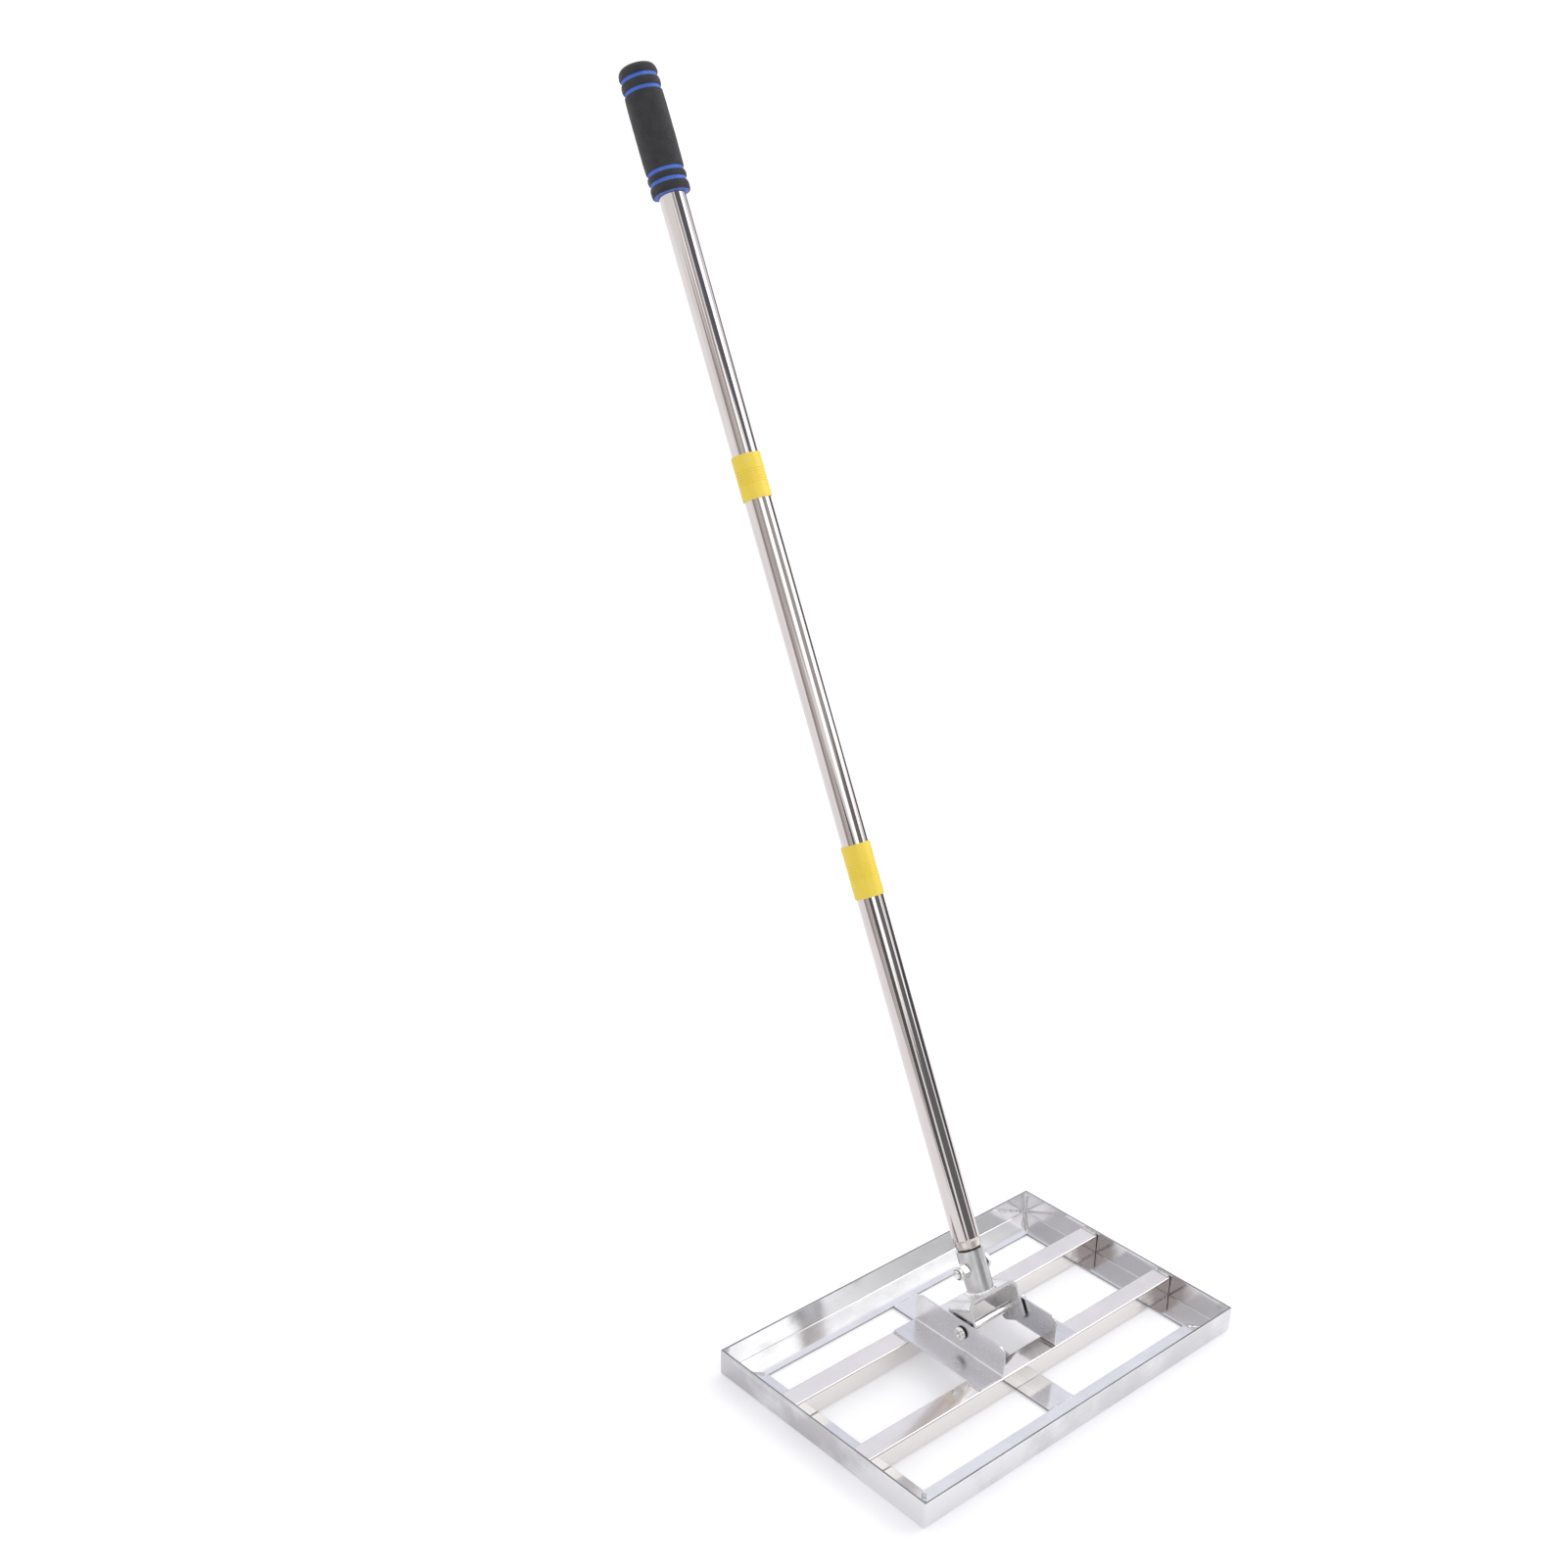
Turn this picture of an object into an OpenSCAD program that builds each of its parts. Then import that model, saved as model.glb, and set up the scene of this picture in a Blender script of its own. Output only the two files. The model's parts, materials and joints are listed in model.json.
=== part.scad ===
// Lawn leveling rake: a welded flat head of angle rails and square bars,
// with a three-piece tube handle that tilts on a bolt between two lugs.
// Millimetres. X runs along the head, Y towards the user, Z up.
// The origin is under the middle of the head, on the ground.

/* [Head frame] */
// Length of the head
frame_len = 406; // [300:1:600]
// Depth of the head
frame_w = 254; // [200:1:400]
// Height of the rails' outer walls
rail_h = 25; // [12:0.5:40]
// Width of the rails' bottom flanges, wall included
rail_flange = 30; // [20:1:40]
// Thickness of the rails and of the strap
rail_t = 2; // [1.5:0.1:4]
// Width of the strap across the middle
strap_w = 32; // [20:1:45]

/* [Cross bars] */
// Side of the square bars
bar_size = 20; // [14:0.5:30]
// Wall of the square bars
bar_wall = 1.5; // [1:0.1:3]
// Outer corner radius of the square bars
bar_corner = 1.5; // [1:0.1:3]
// Distance between the bars' centre lines
bar_spacing = 90; // [70:1:130]
// Place of the bars' middle, forward of the head's middle
bar_forward = 3.5; // [0:0.5:10]
// Gap between the bars' ends and the end rails' walls
bar_gap = 0.6; // [0.1:0.1:1]

/* [Pivot lugs] */
// Thickness of the lugs
lug_t = 2; // [1.5:0.1:4]
// Distance of the lugs' ends from the bars' outer faces
lug_inset = 1; // [0:0.5:6]
// Width of the lugs' feet, ear included
lug_foot = 30; // [20:1:45]
// Height of the lugs' ears above the bars
lug_ear_h = 30; // [25:1:45]
// Radius of the ears' top corners
lug_corner = 8; // [2:0.5:12]
// Fillet between the ears and the feet
lug_fillet = 1.5; // [0.5:0.1:3]
// Place of the pivot, forward of the lugs' middle
pivot_forward = 3; // [0:0.5:10]
// Height of the pivot above the bars
pivot_rise = 19; // [12:0.5:24]

/* [Pivot bolt] */
// Diameter of the pivot bolt
pivot_d = 8; // [5:0.5:9]
// Diameter of its pan head
pivot_head_d = 12.4; // [11:0.2:16]
// Height of its pan head
pivot_head_h = 4.4; // [3.5:0.1:6]
// Width of its nut across the flats
pivot_nut_af = 13; // [10:0.5:17]
// Height of its nut
pivot_nut_h = 8; // [4:0.5:10]
// Outer diameter of the washers on it
washer_od = 16; // [11:0.5:20]
// Thickness of the washers on it
washer_t = 1.6; // [1:0.1:3]
// Length of the bolt past its nut
bolt_tip = 2; // [0.5:0.5:6]

/* [Saddle] */
// Width of the saddle over its cheeks
saddle_w = 63.2; // [50:0.2:80]
// Thickness of the saddle
saddle_t = 3; // [2:0.1:4]
// Plate of the saddle in front of and behind the socket
saddle_margin = 1.5; // [0.5:0.1:6]
// Outer radius of the saddle's bends
saddle_bend = 9; // [5:0.5:12]
// Top of the saddle above the pivot
saddle_rise = 25.5; // [22:0.5:35]
// Reach of the cheeks under the pivot
saddle_drop = 14.5; // [10:0.5:16]
// Radius of the cheeks' lower corners
saddle_corner = 5; // [2:0.5:8]

/* [Socket] */
// Outer diameter of the socket tube
socket_od = 25; // [22:0.5:26]
// Wall of the socket tube
socket_wall = 2; // [1.5:0.1:3]
// Length of the socket tube
socket_len = 39.5; // [34:0.5:60]
// Height of the cross bolt above the saddle
cross_bolt_h = 23; // [12:0.5:30]
// Diameter of the cross bolt
cross_bolt_d = 8; // [5:0.5:10]
// Width of the cross bolt's head and nut across the flats
cross_bolt_af = 13; // [13:0.5:17]
// Height of the cross bolt's head
cross_head_h = 3.6; // [3:0.1:7]
// Height of the cross bolt's nut
cross_nut_h = 9.5; // [5:0.5:11]

/* [Handle] */
// Lean of the handle towards the user, from upright, in degrees
lean = 26.6; // [0:0.2:80]
// Outer diameter of the handle tubes
tube_od = 25; // [22:0.5:30]
// Wall of the handle tubes
tube_wall = 0.8; // [0.6:0.1:1.5]
// Gap between the socket and the lower tube
tube_gap = 1.5; // [0.5:0.1:4]
// Length of the lower tube
lower_len = 354; // [200:1:600]
// Length of the middle tube
middle_len = 367.5; // [200:0.5:600]
// Length of the upper tube
upper_len = 376; // [200:1:600]
// Length of the rolled-in end of the lower tube
roll_len = 9; // [4:0.5:15]
// How far the rolled-in end closes, on the radius
roll_in = 1; // [0.2:0.1:1.2]

/* [Sleeves and joints] */
// Wall of the yellow sleeves
sleeve_wall = 1.25; // [0.8:0.05:3]
// Length of the lower sleeve
lower_sleeve_len = 49.5; // [30:0.5:80]
// Length of the upper sleeve
upper_sleeve_len = 41.5; // [30:0.5:80]
// Number of grooves round each sleeve
sleeve_grooves = 6; // [0:1:10]
// Depth of those grooves
groove_depth = 0.4; // [0.1:0.05:0.6]
// Width of those grooves
groove_w = 0.9; // [0.4:0.1:1.4]
// Spacing of those grooves
groove_pitch = 2.4; // [1.6:0.1:2.6]
// Diameter of the threaded studs in the joints
stud_d = 16; // [10:0.5:17]
// Reach of the studs into the insert below
stud_reach = 26; // [15:1:40]
// Length of the plug that holds each stud
stud_plug = 28; // [15:1:50]

/* [Grip] */
// Outer diameter of the grip
grip_od = 36; // [33:0.5:45]
// Length of the grip
grip_len = 119; // [100:1:200]
// Thickness of the grip's outer layer
grip_skin = 1.4; // [0.8:0.1:3]
// Radius of the grip's domed top edge
grip_dome = 7; // [3:0.5:9]
// Distance of the highest bare band from the grip's top
band_outer = 12.5; // [11.5:0.5:14]
// Distance of the next bare band from the grip's top
band_inner = 24; // [20:0.5:35]
// Distance of the lowest bare band from the grip's foot
foot_band_outer = 10.5; // [6:0.5:12]
// Distance of the next bare band from the grip's foot
foot_band_inner = 20; // [18:0.5:35]
// Width of the bare bands
band_w = 3.5; // [2:0.5:5]

/* [Welds] */
// Leg of the fillet beads
weld_leg = 2.4; // [1.5:0.1:3]
// Width of the seam beads
seam_w = 4.5; // [3:0.5:7]
// Height of the seam beads
seam_h = 0.9; // [0.5:0.1:1.5]

/* [Hidden] */
$fn = 64;

// Clearances
run_clear = 0.05;
slide_clear = 0.05;
bolt_clear = 0.2;
thread_clear = 0.02;
washer_play = 0.1;
overrun = 1;

// Head
bar_top = rail_t + bar_size;
bar_least_r = 0.4;
rear_bar_y = -bar_forward + bar_spacing / 2;
front_bar_y = -bar_forward - bar_spacing / 2;
lug_y = -bar_forward;
lug_len = bar_spacing + bar_size - 2 * lug_inset;
lug_gap = saddle_w + 2 * (washer_t + 2 * washer_play);
lug_out = lug_gap / 2 + lug_t;
pivot_y = lug_y - pivot_forward;
pivot_z = bar_top + pivot_rise;

// Nuts and heads, as shares of their height or width
nut_hex_share = 0.72;
nut_collar_share = 0.88;
hex_face_share = 0.98;

// Pivot bolt
pivot_head_corner = 0.35 * pivot_head_h;
recess_w = 0.16 * pivot_head_d;
recess_len = 0.56 * pivot_head_d;
recess_depth = 0.45 * pivot_head_h;
pivot_end = lug_out + washer_t + pivot_nut_h + bolt_tip;

// Handle, measured up the handle from the pivot
saddle_depth = socket_od + 2 * saddle_margin;
socket_r = socket_od / 2;
tube_r = tube_od / 2;
tube_bore = tube_r - tube_wall;
socket_top = saddle_rise + socket_len;
cross_z = saddle_rise + cross_bolt_h;
lower_start = socket_top + tube_gap;
lower_end = lower_start + lower_len;
middle_end = lower_end + middle_len;
upper_end = middle_end + upper_len;
spigot_r = socket_r - socket_wall - slide_clear;
spigot_wall = 3;
spigot_seat = 2;
spigot_in_tube = 34;
insert_below = 6;
plug_reach = 18;
plug_flange = 1.6;
grip_core_r = grip_od / 2 - grip_skin;
grip_end_wall = 5;
grip_top = upper_end + plug_flange + grip_end_wall;
grip_start = grip_top - grip_len;
band_edges = [
    grip_start + foot_band_outer, grip_start + foot_band_inner,
    grip_top - band_inner, grip_top - band_outer
];

// Frame that carries everything on the handle
module on_handle() {
    translate([0, pivot_y, pivot_z]) rotate([-lean, 0, 0]) children();
}

// Angle section: wall along the left, flange along the bottom
module angle_section(flange, height, t) {
    square([flange, t]);
    square([t, height]);
}

// Fillet in the corner of two walls along the X and Y directions
module inside_fillet(r) {
    difference() {
        square(r);
        translate([r, r]) circle(r);
    }
}

// Mitred rail with its wall on the negative Y side, centred on X
module rail(length) {
    difference() {
        rotate([90, 0, 90]) translate([0, 0, -length / 2]) linear_extrude(length)
            angle_section(rail_flange, rail_h, rail_t);
        for (side = [-1, 1])
            translate([side * length / 2, 0, rail_h / 2]) rotate([0, 0, side * 45])
                translate([side * rail_flange, 0, 0])
                    cube([2 * rail_flange, 6 * rail_flange, 2 * rail_h], center = true);
    }
}

// Rounded rectangle of exact arcs, centred
module rounded_rect(w, h, r) {
    square([w - 2 * r, h], center = true);
    square([w, h - 2 * r], center = true);
    for (x = [-1, 1], y = [-1, 1])
        translate([x * (w / 2 - r), y * (h / 2 - r)]) circle(r);
}

// Square tube between the end rails
module bar(y) {
    inner = bar_size - 2 * bar_wall;
    inner_r = max(bar_corner - bar_wall, bar_least_r);
    span = frame_len - 2 * (rail_t + bar_gap);
    translate([-span / 2, y, rail_t + bar_size / 2]) rotate([90, 0, 90]) linear_extrude(span)
        difference() {
            rounded_rect(bar_size, bar_size, bar_corner);
            rounded_rect(inner, inner, inner_r);
        }
}

// Fillet bead along Z, in the corner between the X and Y directions
module fillet_bead(length, leg) {
    linear_extrude(length) polygon([[0, 0], [leg, 0], [0, leg]]);
}

// Low bead on a flat seam, along X from the origin, on top of z = 0
module seam_bead(length) {
    seam_r = (seam_w * seam_w / 4 + seam_h * seam_h) / (2 * seam_h);
    rotate([90, 0, 90]) linear_extrude(length) intersection() {
        translate([0, seam_h - seam_r]) circle(seam_r);
        translate([-seam_w, 0]) square([2 * seam_w, seam_w]);
    }
}

module rear_rail() {
    color("silver") translate([0, frame_w / 2, 0]) rotate([0, 0, 180]) rail(frame_len);
}

module front_rail() {
    color("silver") translate([0, -frame_w / 2, 0]) rail(frame_len);
}

module left_rail() {
    color("silver") translate([-frame_len / 2, 0, 0]) rotate([0, 0, -90]) rail(frame_w);
}

module right_rail() {
    color("silver") translate([frame_len / 2, 0, 0]) rotate([0, 0, 90]) rail(frame_w);
}

module corner_welds() {
    wall_x = frame_len / 2 - rail_t;
    wall_y = frame_w / 2 - rail_t;
    seam_start = weld_leg + seam_w / 2;
    seam_len = (rail_flange - rail_t - seam_start - seam_w / 2) * sqrt(2);
    color("gainsboro") for (x = [0, 1], y = [0, 1]) mirror([x, 0, 0]) mirror([0, y, 0]) {
        translate([-wall_x, -wall_y, rail_t]) fillet_bead(rail_h - rail_t - weld_leg, weld_leg);
        translate([-wall_x + seam_start, -wall_y + seam_start, rail_t])
            rotate([0, 0, 45]) seam_bead(seam_len);
    }
}

module rear_bar() {
    color("lightgray") bar(rear_bar_y);
}

module front_bar() {
    color("lightgray") bar(front_bar_y);
}

// Beads at the bars' ends: up the rear side, and along the top where the wall stands higher
module bar_welds() {
    side_len = min(bar_size - bar_corner, rail_h - rail_t) - bar_corner;
    top_len = bar_size - 2 * bar_corner;
    top_leg = min(weld_leg, rail_h - bar_top);
    wall_x = frame_len / 2 - rail_t;
    color("gainsboro") for (x = [0, 1], y = [rear_bar_y, front_bar_y])
        mirror([x, 0, 0]) translate([-wall_x, y, 0]) {
            translate([0, bar_size / 2, rail_t + bar_corner]) fillet_bead(side_len, weld_leg);
            if (top_leg > 0)
                translate([0, top_len / 2, bar_top]) rotate([90, 0, 0]) fillet_bead(top_len, top_leg);
        }
}

module center_strap() {
    strap_len = frame_w - 2 * rail_flange;
    color("silver") translate([-strap_w / 2, -strap_len / 2, 0]) cube([strap_w, strap_len, rail_t]);
}

module strap_welds() {
    color("gainsboro") for (side = [-1, 1])
        translate([-strap_w / 2, side * (frame_w / 2 - rail_flange), rail_t]) seam_bead(strap_w);
}

// Pivot lug on the positive X side
module lug() {
    ear_x = lug_gap / 2;
    translate([ear_x, lug_y, bar_top]) difference() {
        rotate([90, 0, 0]) translate([0, 0, -lug_len / 2]) linear_extrude(lug_len) {
            angle_section(lug_foot, lug_ear_h, lug_t);
            translate([lug_t, lug_t]) inside_fillet(lug_fillet);
        }
        for (side = [-1, 1])
            translate([-overrun, side * (lug_len / 2 - lug_corner), lug_ear_h - lug_corner])
                rotate([90, 0, 90]) linear_extrude(lug_t + 2 * overrun) difference() {
                    translate([side > 0 ? 0 : -lug_corner - overrun, 0])
                        square(lug_corner + overrun);
                    circle(lug_corner);
                }
        translate([-overrun, pivot_y - lug_y, pivot_rise]) rotate([0, 90, 0])
            cylinder(d = pivot_d + 2 * bolt_clear, h = lug_t + 2 * overrun);
    }
}

module left_lug() {
    color("lightsteelblue") mirror([1, 0, 0]) lug();
}

module right_lug() {
    color("lightsteelblue") lug();
}

module lug_welds() {
    foot_x = lug_gap / 2 + lug_foot;
    bead_end = lug_len / 2 - max(bar_corner - lug_inset, 0);
    bead_len = bead_end - (bar_spacing - bar_size) / 2 - bar_corner;
    color("gainsboro") for (x = [0, 1], y = [0, 1])
        mirror([x, 0, 0]) translate([foot_x, lug_y, bar_top]) mirror([0, y, 0])
            translate([0, bead_end, 0]) rotate([90, 0, 0]) fillet_bead(bead_len, lug_t);
}

module along_pivot(x) {
    translate([x, pivot_y, pivot_z]) rotate([0, 90, 0]) children();
}

// Pan head with rounded edge, seat on z = 0 and crown upwards
module pan_head() {
    r = pivot_head_d / 2;
    difference() {
        rotate_extrude() {
            square([r - pivot_head_corner, pivot_head_h]);
            square([r, pivot_head_h - pivot_head_corner]);
            translate([r - pivot_head_corner, pivot_head_h - pivot_head_corner])
                circle(pivot_head_corner);
        }
        for (turn = [0, 90]) rotate([0, 0, turn])
            translate([-recess_len / 2, -recess_w / 2, pivot_head_h - recess_depth])
                cube([recess_len, recess_w, recess_depth + overrun]);
    }
}

module pivot_bolt() {
    color("whitesmoke") {
        along_pivot(-lug_out) rotate([180, 0, 0]) pan_head();
        along_pivot(-lug_out - overrun) cylinder(d = pivot_d, h = pivot_end + lug_out + overrun);
    }
}

module washer() {
    difference() {
        cylinder(d = washer_od, h = washer_t);
        translate([0, 0, -overrun]) cylinder(d = pivot_d + 2 * bolt_clear, h = washer_t + 2 * overrun);
    }
}

module pivot_washers() {
    color("gainsboro") {
        along_pivot(-lug_gap / 2) washer();
        along_pivot(lug_gap / 2 - washer_t) washer();
        along_pivot(lug_out) washer();
    }
}

// Hexagon with a chamfered upper face, seat on z = 0
module hex_block(af, h) {
    hex_d = af / cos(30);
    face_d = hex_face_share * af;
    intersection() {
        cylinder(d = hex_d, h = h, $fn = 6);
        cylinder(d1 = hex_d + 2 * h, d2 = face_d, h = h + (hex_d - face_d) / 2);
    }
}

// Lock nut: hexagon with a round collar on its chamfered face, seat on z = 0
module lock_nut(af, h, bore) {
    difference() {
        union() {
            hex_block(af, nut_hex_share * h);
            cylinder(d = nut_collar_share * af, h = h);
        }
        translate([0, 0, -overrun]) cylinder(d = bore + 2 * thread_clear, h = h + 2 * overrun);
    }
}

module pivot_nut() {
    color("gainsboro") along_pivot(lug_out + washer_t) lock_nut(pivot_nut_af, pivot_nut_h, pivot_d);
}

module saddle() {
    inner_r = saddle_bend - saddle_t;
    color("lightgray") on_handle() difference() {
        rotate([90, 0, 0]) translate([0, 0, -saddle_depth / 2]) linear_extrude(saddle_depth)
            difference() {
                saddle_outline(saddle_w, saddle_rise, saddle_drop, saddle_bend);
                saddle_outline(saddle_w - 2 * saddle_t, saddle_rise - saddle_t,
                               saddle_drop + overrun, inner_r);
            }
        for (side = [-1, 1])
            translate([-saddle_w / 2 - overrun, side * (saddle_depth / 2 - saddle_corner),
                       saddle_corner - saddle_drop])
                rotate([90, 0, 90]) linear_extrude(saddle_w + 2 * overrun) difference() {
                    translate([side > 0 ? 0 : -saddle_corner - overrun, -saddle_corner - overrun])
                        square(saddle_corner + overrun);
                    circle(saddle_corner);
                }
        translate([-saddle_w / 2 - overrun, 0, 0]) rotate([0, 90, 0])
            cylinder(d = pivot_d + 2 * run_clear, h = saddle_w + 2 * overrun);
    }
}

// Arch outline: flat top at the rise, rounded shoulders, straight legs down to the drop
module saddle_outline(w, rise, drop, r) {
    translate([-w / 2, -drop]) square([w, drop + rise - r]);
    translate([-w / 2 + r, -drop]) square([w - 2 * r, drop + rise]);
    for (side = [-1, 1]) translate([side * (w / 2 - r), rise - r]) circle(r);
}

module socket_tube() {
    color("darkgray") on_handle() difference() {
        translate([0, 0, saddle_rise]) cylinder(d = socket_od, h = socket_len);
        translate([0, 0, saddle_rise - overrun])
            cylinder(r = socket_r - socket_wall, h = socket_len + 2 * overrun);
        cross_hole();
    }
}

// Hole for the cross bolt, along X
module cross_hole() {
    translate([-tube_od, 0, cross_z]) rotate([0, 90, 0])
        cylinder(d = cross_bolt_d + 2 * bolt_clear, h = 2 * tube_od);
}

module socket_weld() {
    bead = min(weld_leg, saddle_margin);
    color("gainsboro") on_handle() translate([0, 0, saddle_rise]) rotate_extrude()
        polygon([[socket_r, 0], [socket_r + bead, 0], [socket_r, weld_leg]]);
}

// Plug in the lower tube whose spigot stands in the socket
module handle_spigot() {
    seat = lower_start + roll_len;
    top = seat + spigot_in_tube;
    bore = spigot_r - spigot_wall;
    plug_r = tube_bore - slide_clear;
    neck_r = min(spigot_r, tube_bore - roll_in - slide_clear);
    color("dimgray") on_handle() difference() {
        union() {
            translate([0, 0, saddle_rise + spigot_seat])
                cylinder(r = spigot_r, h = socket_top - saddle_rise - spigot_seat);
            translate([0, 0, socket_top - overrun])
                cylinder(r = neck_r, h = seat - socket_top + 2 * overrun);
            translate([0, 0, seat]) cylinder(r = plug_r, h = spigot_in_tube);
        }
        translate([0, 0, saddle_rise]) cylinder(r = bore, h = top - saddle_rise + overrun);
        cross_hole();
    }
}

module along_cross(x) {
    on_handle() translate([x, 0, cross_z]) rotate([0, 90, 0]) children();
}

module cross_bolt() {
    shank = socket_r + cross_nut_h + bolt_tip;
    color("gainsboro") {
        along_cross(-shank) cylinder(d = cross_bolt_d, h = shank + socket_r + overrun);
        along_cross(socket_r) hex_block(cross_bolt_af, cross_head_h);
    }
}

module cross_nut() {
    color("whitesmoke") along_cross(-socket_r) rotate([180, 0, 0])
        lock_nut(cross_bolt_af, cross_nut_h, cross_bolt_d);
}

// Plain tube between two places on the handle
module plain_tube(from, to) {
    translate([0, 0, from]) difference() {
        cylinder(d = tube_od, h = to - from);
        translate([0, 0, -overrun]) cylinder(r = tube_bore, h = to - from + 2 * overrun);
    }
}

module lower_tube() {
    color("gainsboro") on_handle() {
        plain_tube(lower_start + roll_len, lower_end);
        translate([0, 0, lower_start]) rotate_extrude() polygon([
            [tube_bore - roll_in, 0], [tube_r - roll_in, 0], [tube_r, roll_len], [tube_bore, roll_len]
        ]);
    }
}

module middle_tube() {
    color("gainsboro") on_handle() plain_tube(lower_end, middle_end);
}

module upper_tube() {
    color("gainsboro") on_handle() plain_tube(middle_end, upper_end);
}

// Bush in the top of the tube under a joint, bored for the stud
module joint_insert(joint) {
    depth = stud_reach + insert_below;
    on_handle() translate([0, 0, joint - depth]) difference() {
        cylinder(r = tube_bore - slide_clear, h = depth);
        translate([0, 0, insert_below - overrun])
            cylinder(d = stud_d + 2 * thread_clear, h = stud_reach + 2 * overrun);
    }
}

// Plug in the bottom of the tube above a joint, with the stud that enters the bush
module joint_stud(joint) {
    on_handle() {
        translate([0, 0, joint]) cylinder(r = tube_bore - slide_clear, h = stud_plug);
        translate([0, 0, joint - stud_reach + bolt_clear]) cylinder(d = stud_d, h = stud_reach);
    }
}

// Ribbed sleeve over a joint, half on each tube
module joint_sleeve(joint, length) {
    span = (sleeve_grooves - 1) * groove_pitch;
    outer = tube_r + sleeve_wall;
    on_handle() translate([0, 0, joint - length / 2]) difference() {
        cylinder(r = outer, h = length);
        translate([0, 0, -overrun]) cylinder(r = tube_r, h = length + 2 * overrun);
        for (i = [0 : 1 : sleeve_grooves - 1])
            translate([0, 0, (length - span) / 2 + i * groove_pitch - groove_w / 2]) difference() {
                cylinder(r = outer + overrun, h = groove_w);
                translate([0, 0, -overrun])
                    cylinder(r = outer - groove_depth, h = groove_w + 2 * overrun);
            }
    }
}

module lower_insert() {
    color("dimgray") joint_insert(lower_end);
}

module lower_stud() {
    color("dimgray") joint_stud(lower_end);
}

module lower_sleeve() {
    color("gold") joint_sleeve(lower_end, lower_sleeve_len);
}

module upper_insert() {
    color("dimgray") joint_insert(middle_end);
}

module upper_stud() {
    color("dimgray") joint_stud(middle_end);
}

module upper_sleeve() {
    color("gold") joint_sleeve(middle_end, upper_sleeve_len);
}

module tube_plug() {
    color("dimgray") on_handle() {
        translate([0, 0, upper_end - plug_reach]) cylinder(r = tube_bore - slide_clear, h = plug_reach);
        translate([0, 0, upper_end]) cylinder(r = tube_r, h = plug_flange);
    }
}

// Inner foam layer: a sleeve on the tube, closed over the plug
module grip_core() {
    color("dodgerblue") on_handle() difference() {
        translate([0, 0, grip_start])
            cylinder(r = grip_core_r, h = upper_end + plug_flange - grip_start);
        translate([0, 0, grip_start - overrun])
            cylinder(r = tube_r, h = upper_end + plug_flange - grip_start + 2 * overrun);
    }
}

// Outer foam layer: bands between the bare grooves, the top one closed and domed
module grip_cover() {
    starts = concat([grip_start], [for (edge = band_edges) edge + band_w / 2]);
    ends = concat([for (edge = band_edges) edge - band_w / 2], [grip_top]);
    last = len(ends) - 1;
    color("#2b2b2d") on_handle() {
        for (i = [0 : last - 1]) translate([0, 0, starts[i]]) difference() {
            cylinder(d = grip_od, h = ends[i] - starts[i]);
            translate([0, 0, -overrun]) cylinder(r = grip_core_r, h = ends[i] - starts[i] + 2 * overrun);
        }
        difference() {
            translate([0, 0, starts[last]]) domed_end(ends[last] - starts[last]);
            translate([0, 0, grip_start])
                cylinder(r = grip_core_r, h = upper_end + plug_flange - grip_start);
        }
    }
}

// Disc with a rounded top edge
module domed_end(height) {
    r = grip_od / 2;
    rotate_extrude() {
        square([r - grip_dome, height]);
        square([r, height - grip_dome]);
        translate([r - grip_dome, height - grip_dome]) intersection() {
            circle(grip_dome);
            square(grip_dome);
        }
    }
}

rear_rail();
front_rail();
left_rail();
right_rail();
corner_welds();
rear_bar();
front_bar();
bar_welds();
center_strap();
strap_welds();
left_lug();
right_lug();
lug_welds();
pivot_bolt();
pivot_washers();
pivot_nut();
saddle();
socket_tube();
socket_weld();
handle_spigot();
cross_bolt();
cross_nut();
lower_tube();
lower_insert();
lower_stud();
lower_sleeve();
middle_tube();
upper_insert();
upper_stud();
upper_sleeve();
upper_tube();
tube_plug();
grip_core();
grip_cover();
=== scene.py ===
"""Looks of a lawn leveling rake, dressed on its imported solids.

The head is a welded frame of angle rails, square bars and a strap. A saddle tilts on a bolt
between two lugs and carries a handle of three tubes, two sleeves and a foam grip.
Lengths are in metres: X along the head, Y towards the user, Z up.
"""

import json
import logging
import math
from dataclasses import dataclass, field
from enum import Enum
from typing import Callable, Iterable, Optional

import bmesh
import bpy
from mathutils import Matrix, Vector, noise

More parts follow.
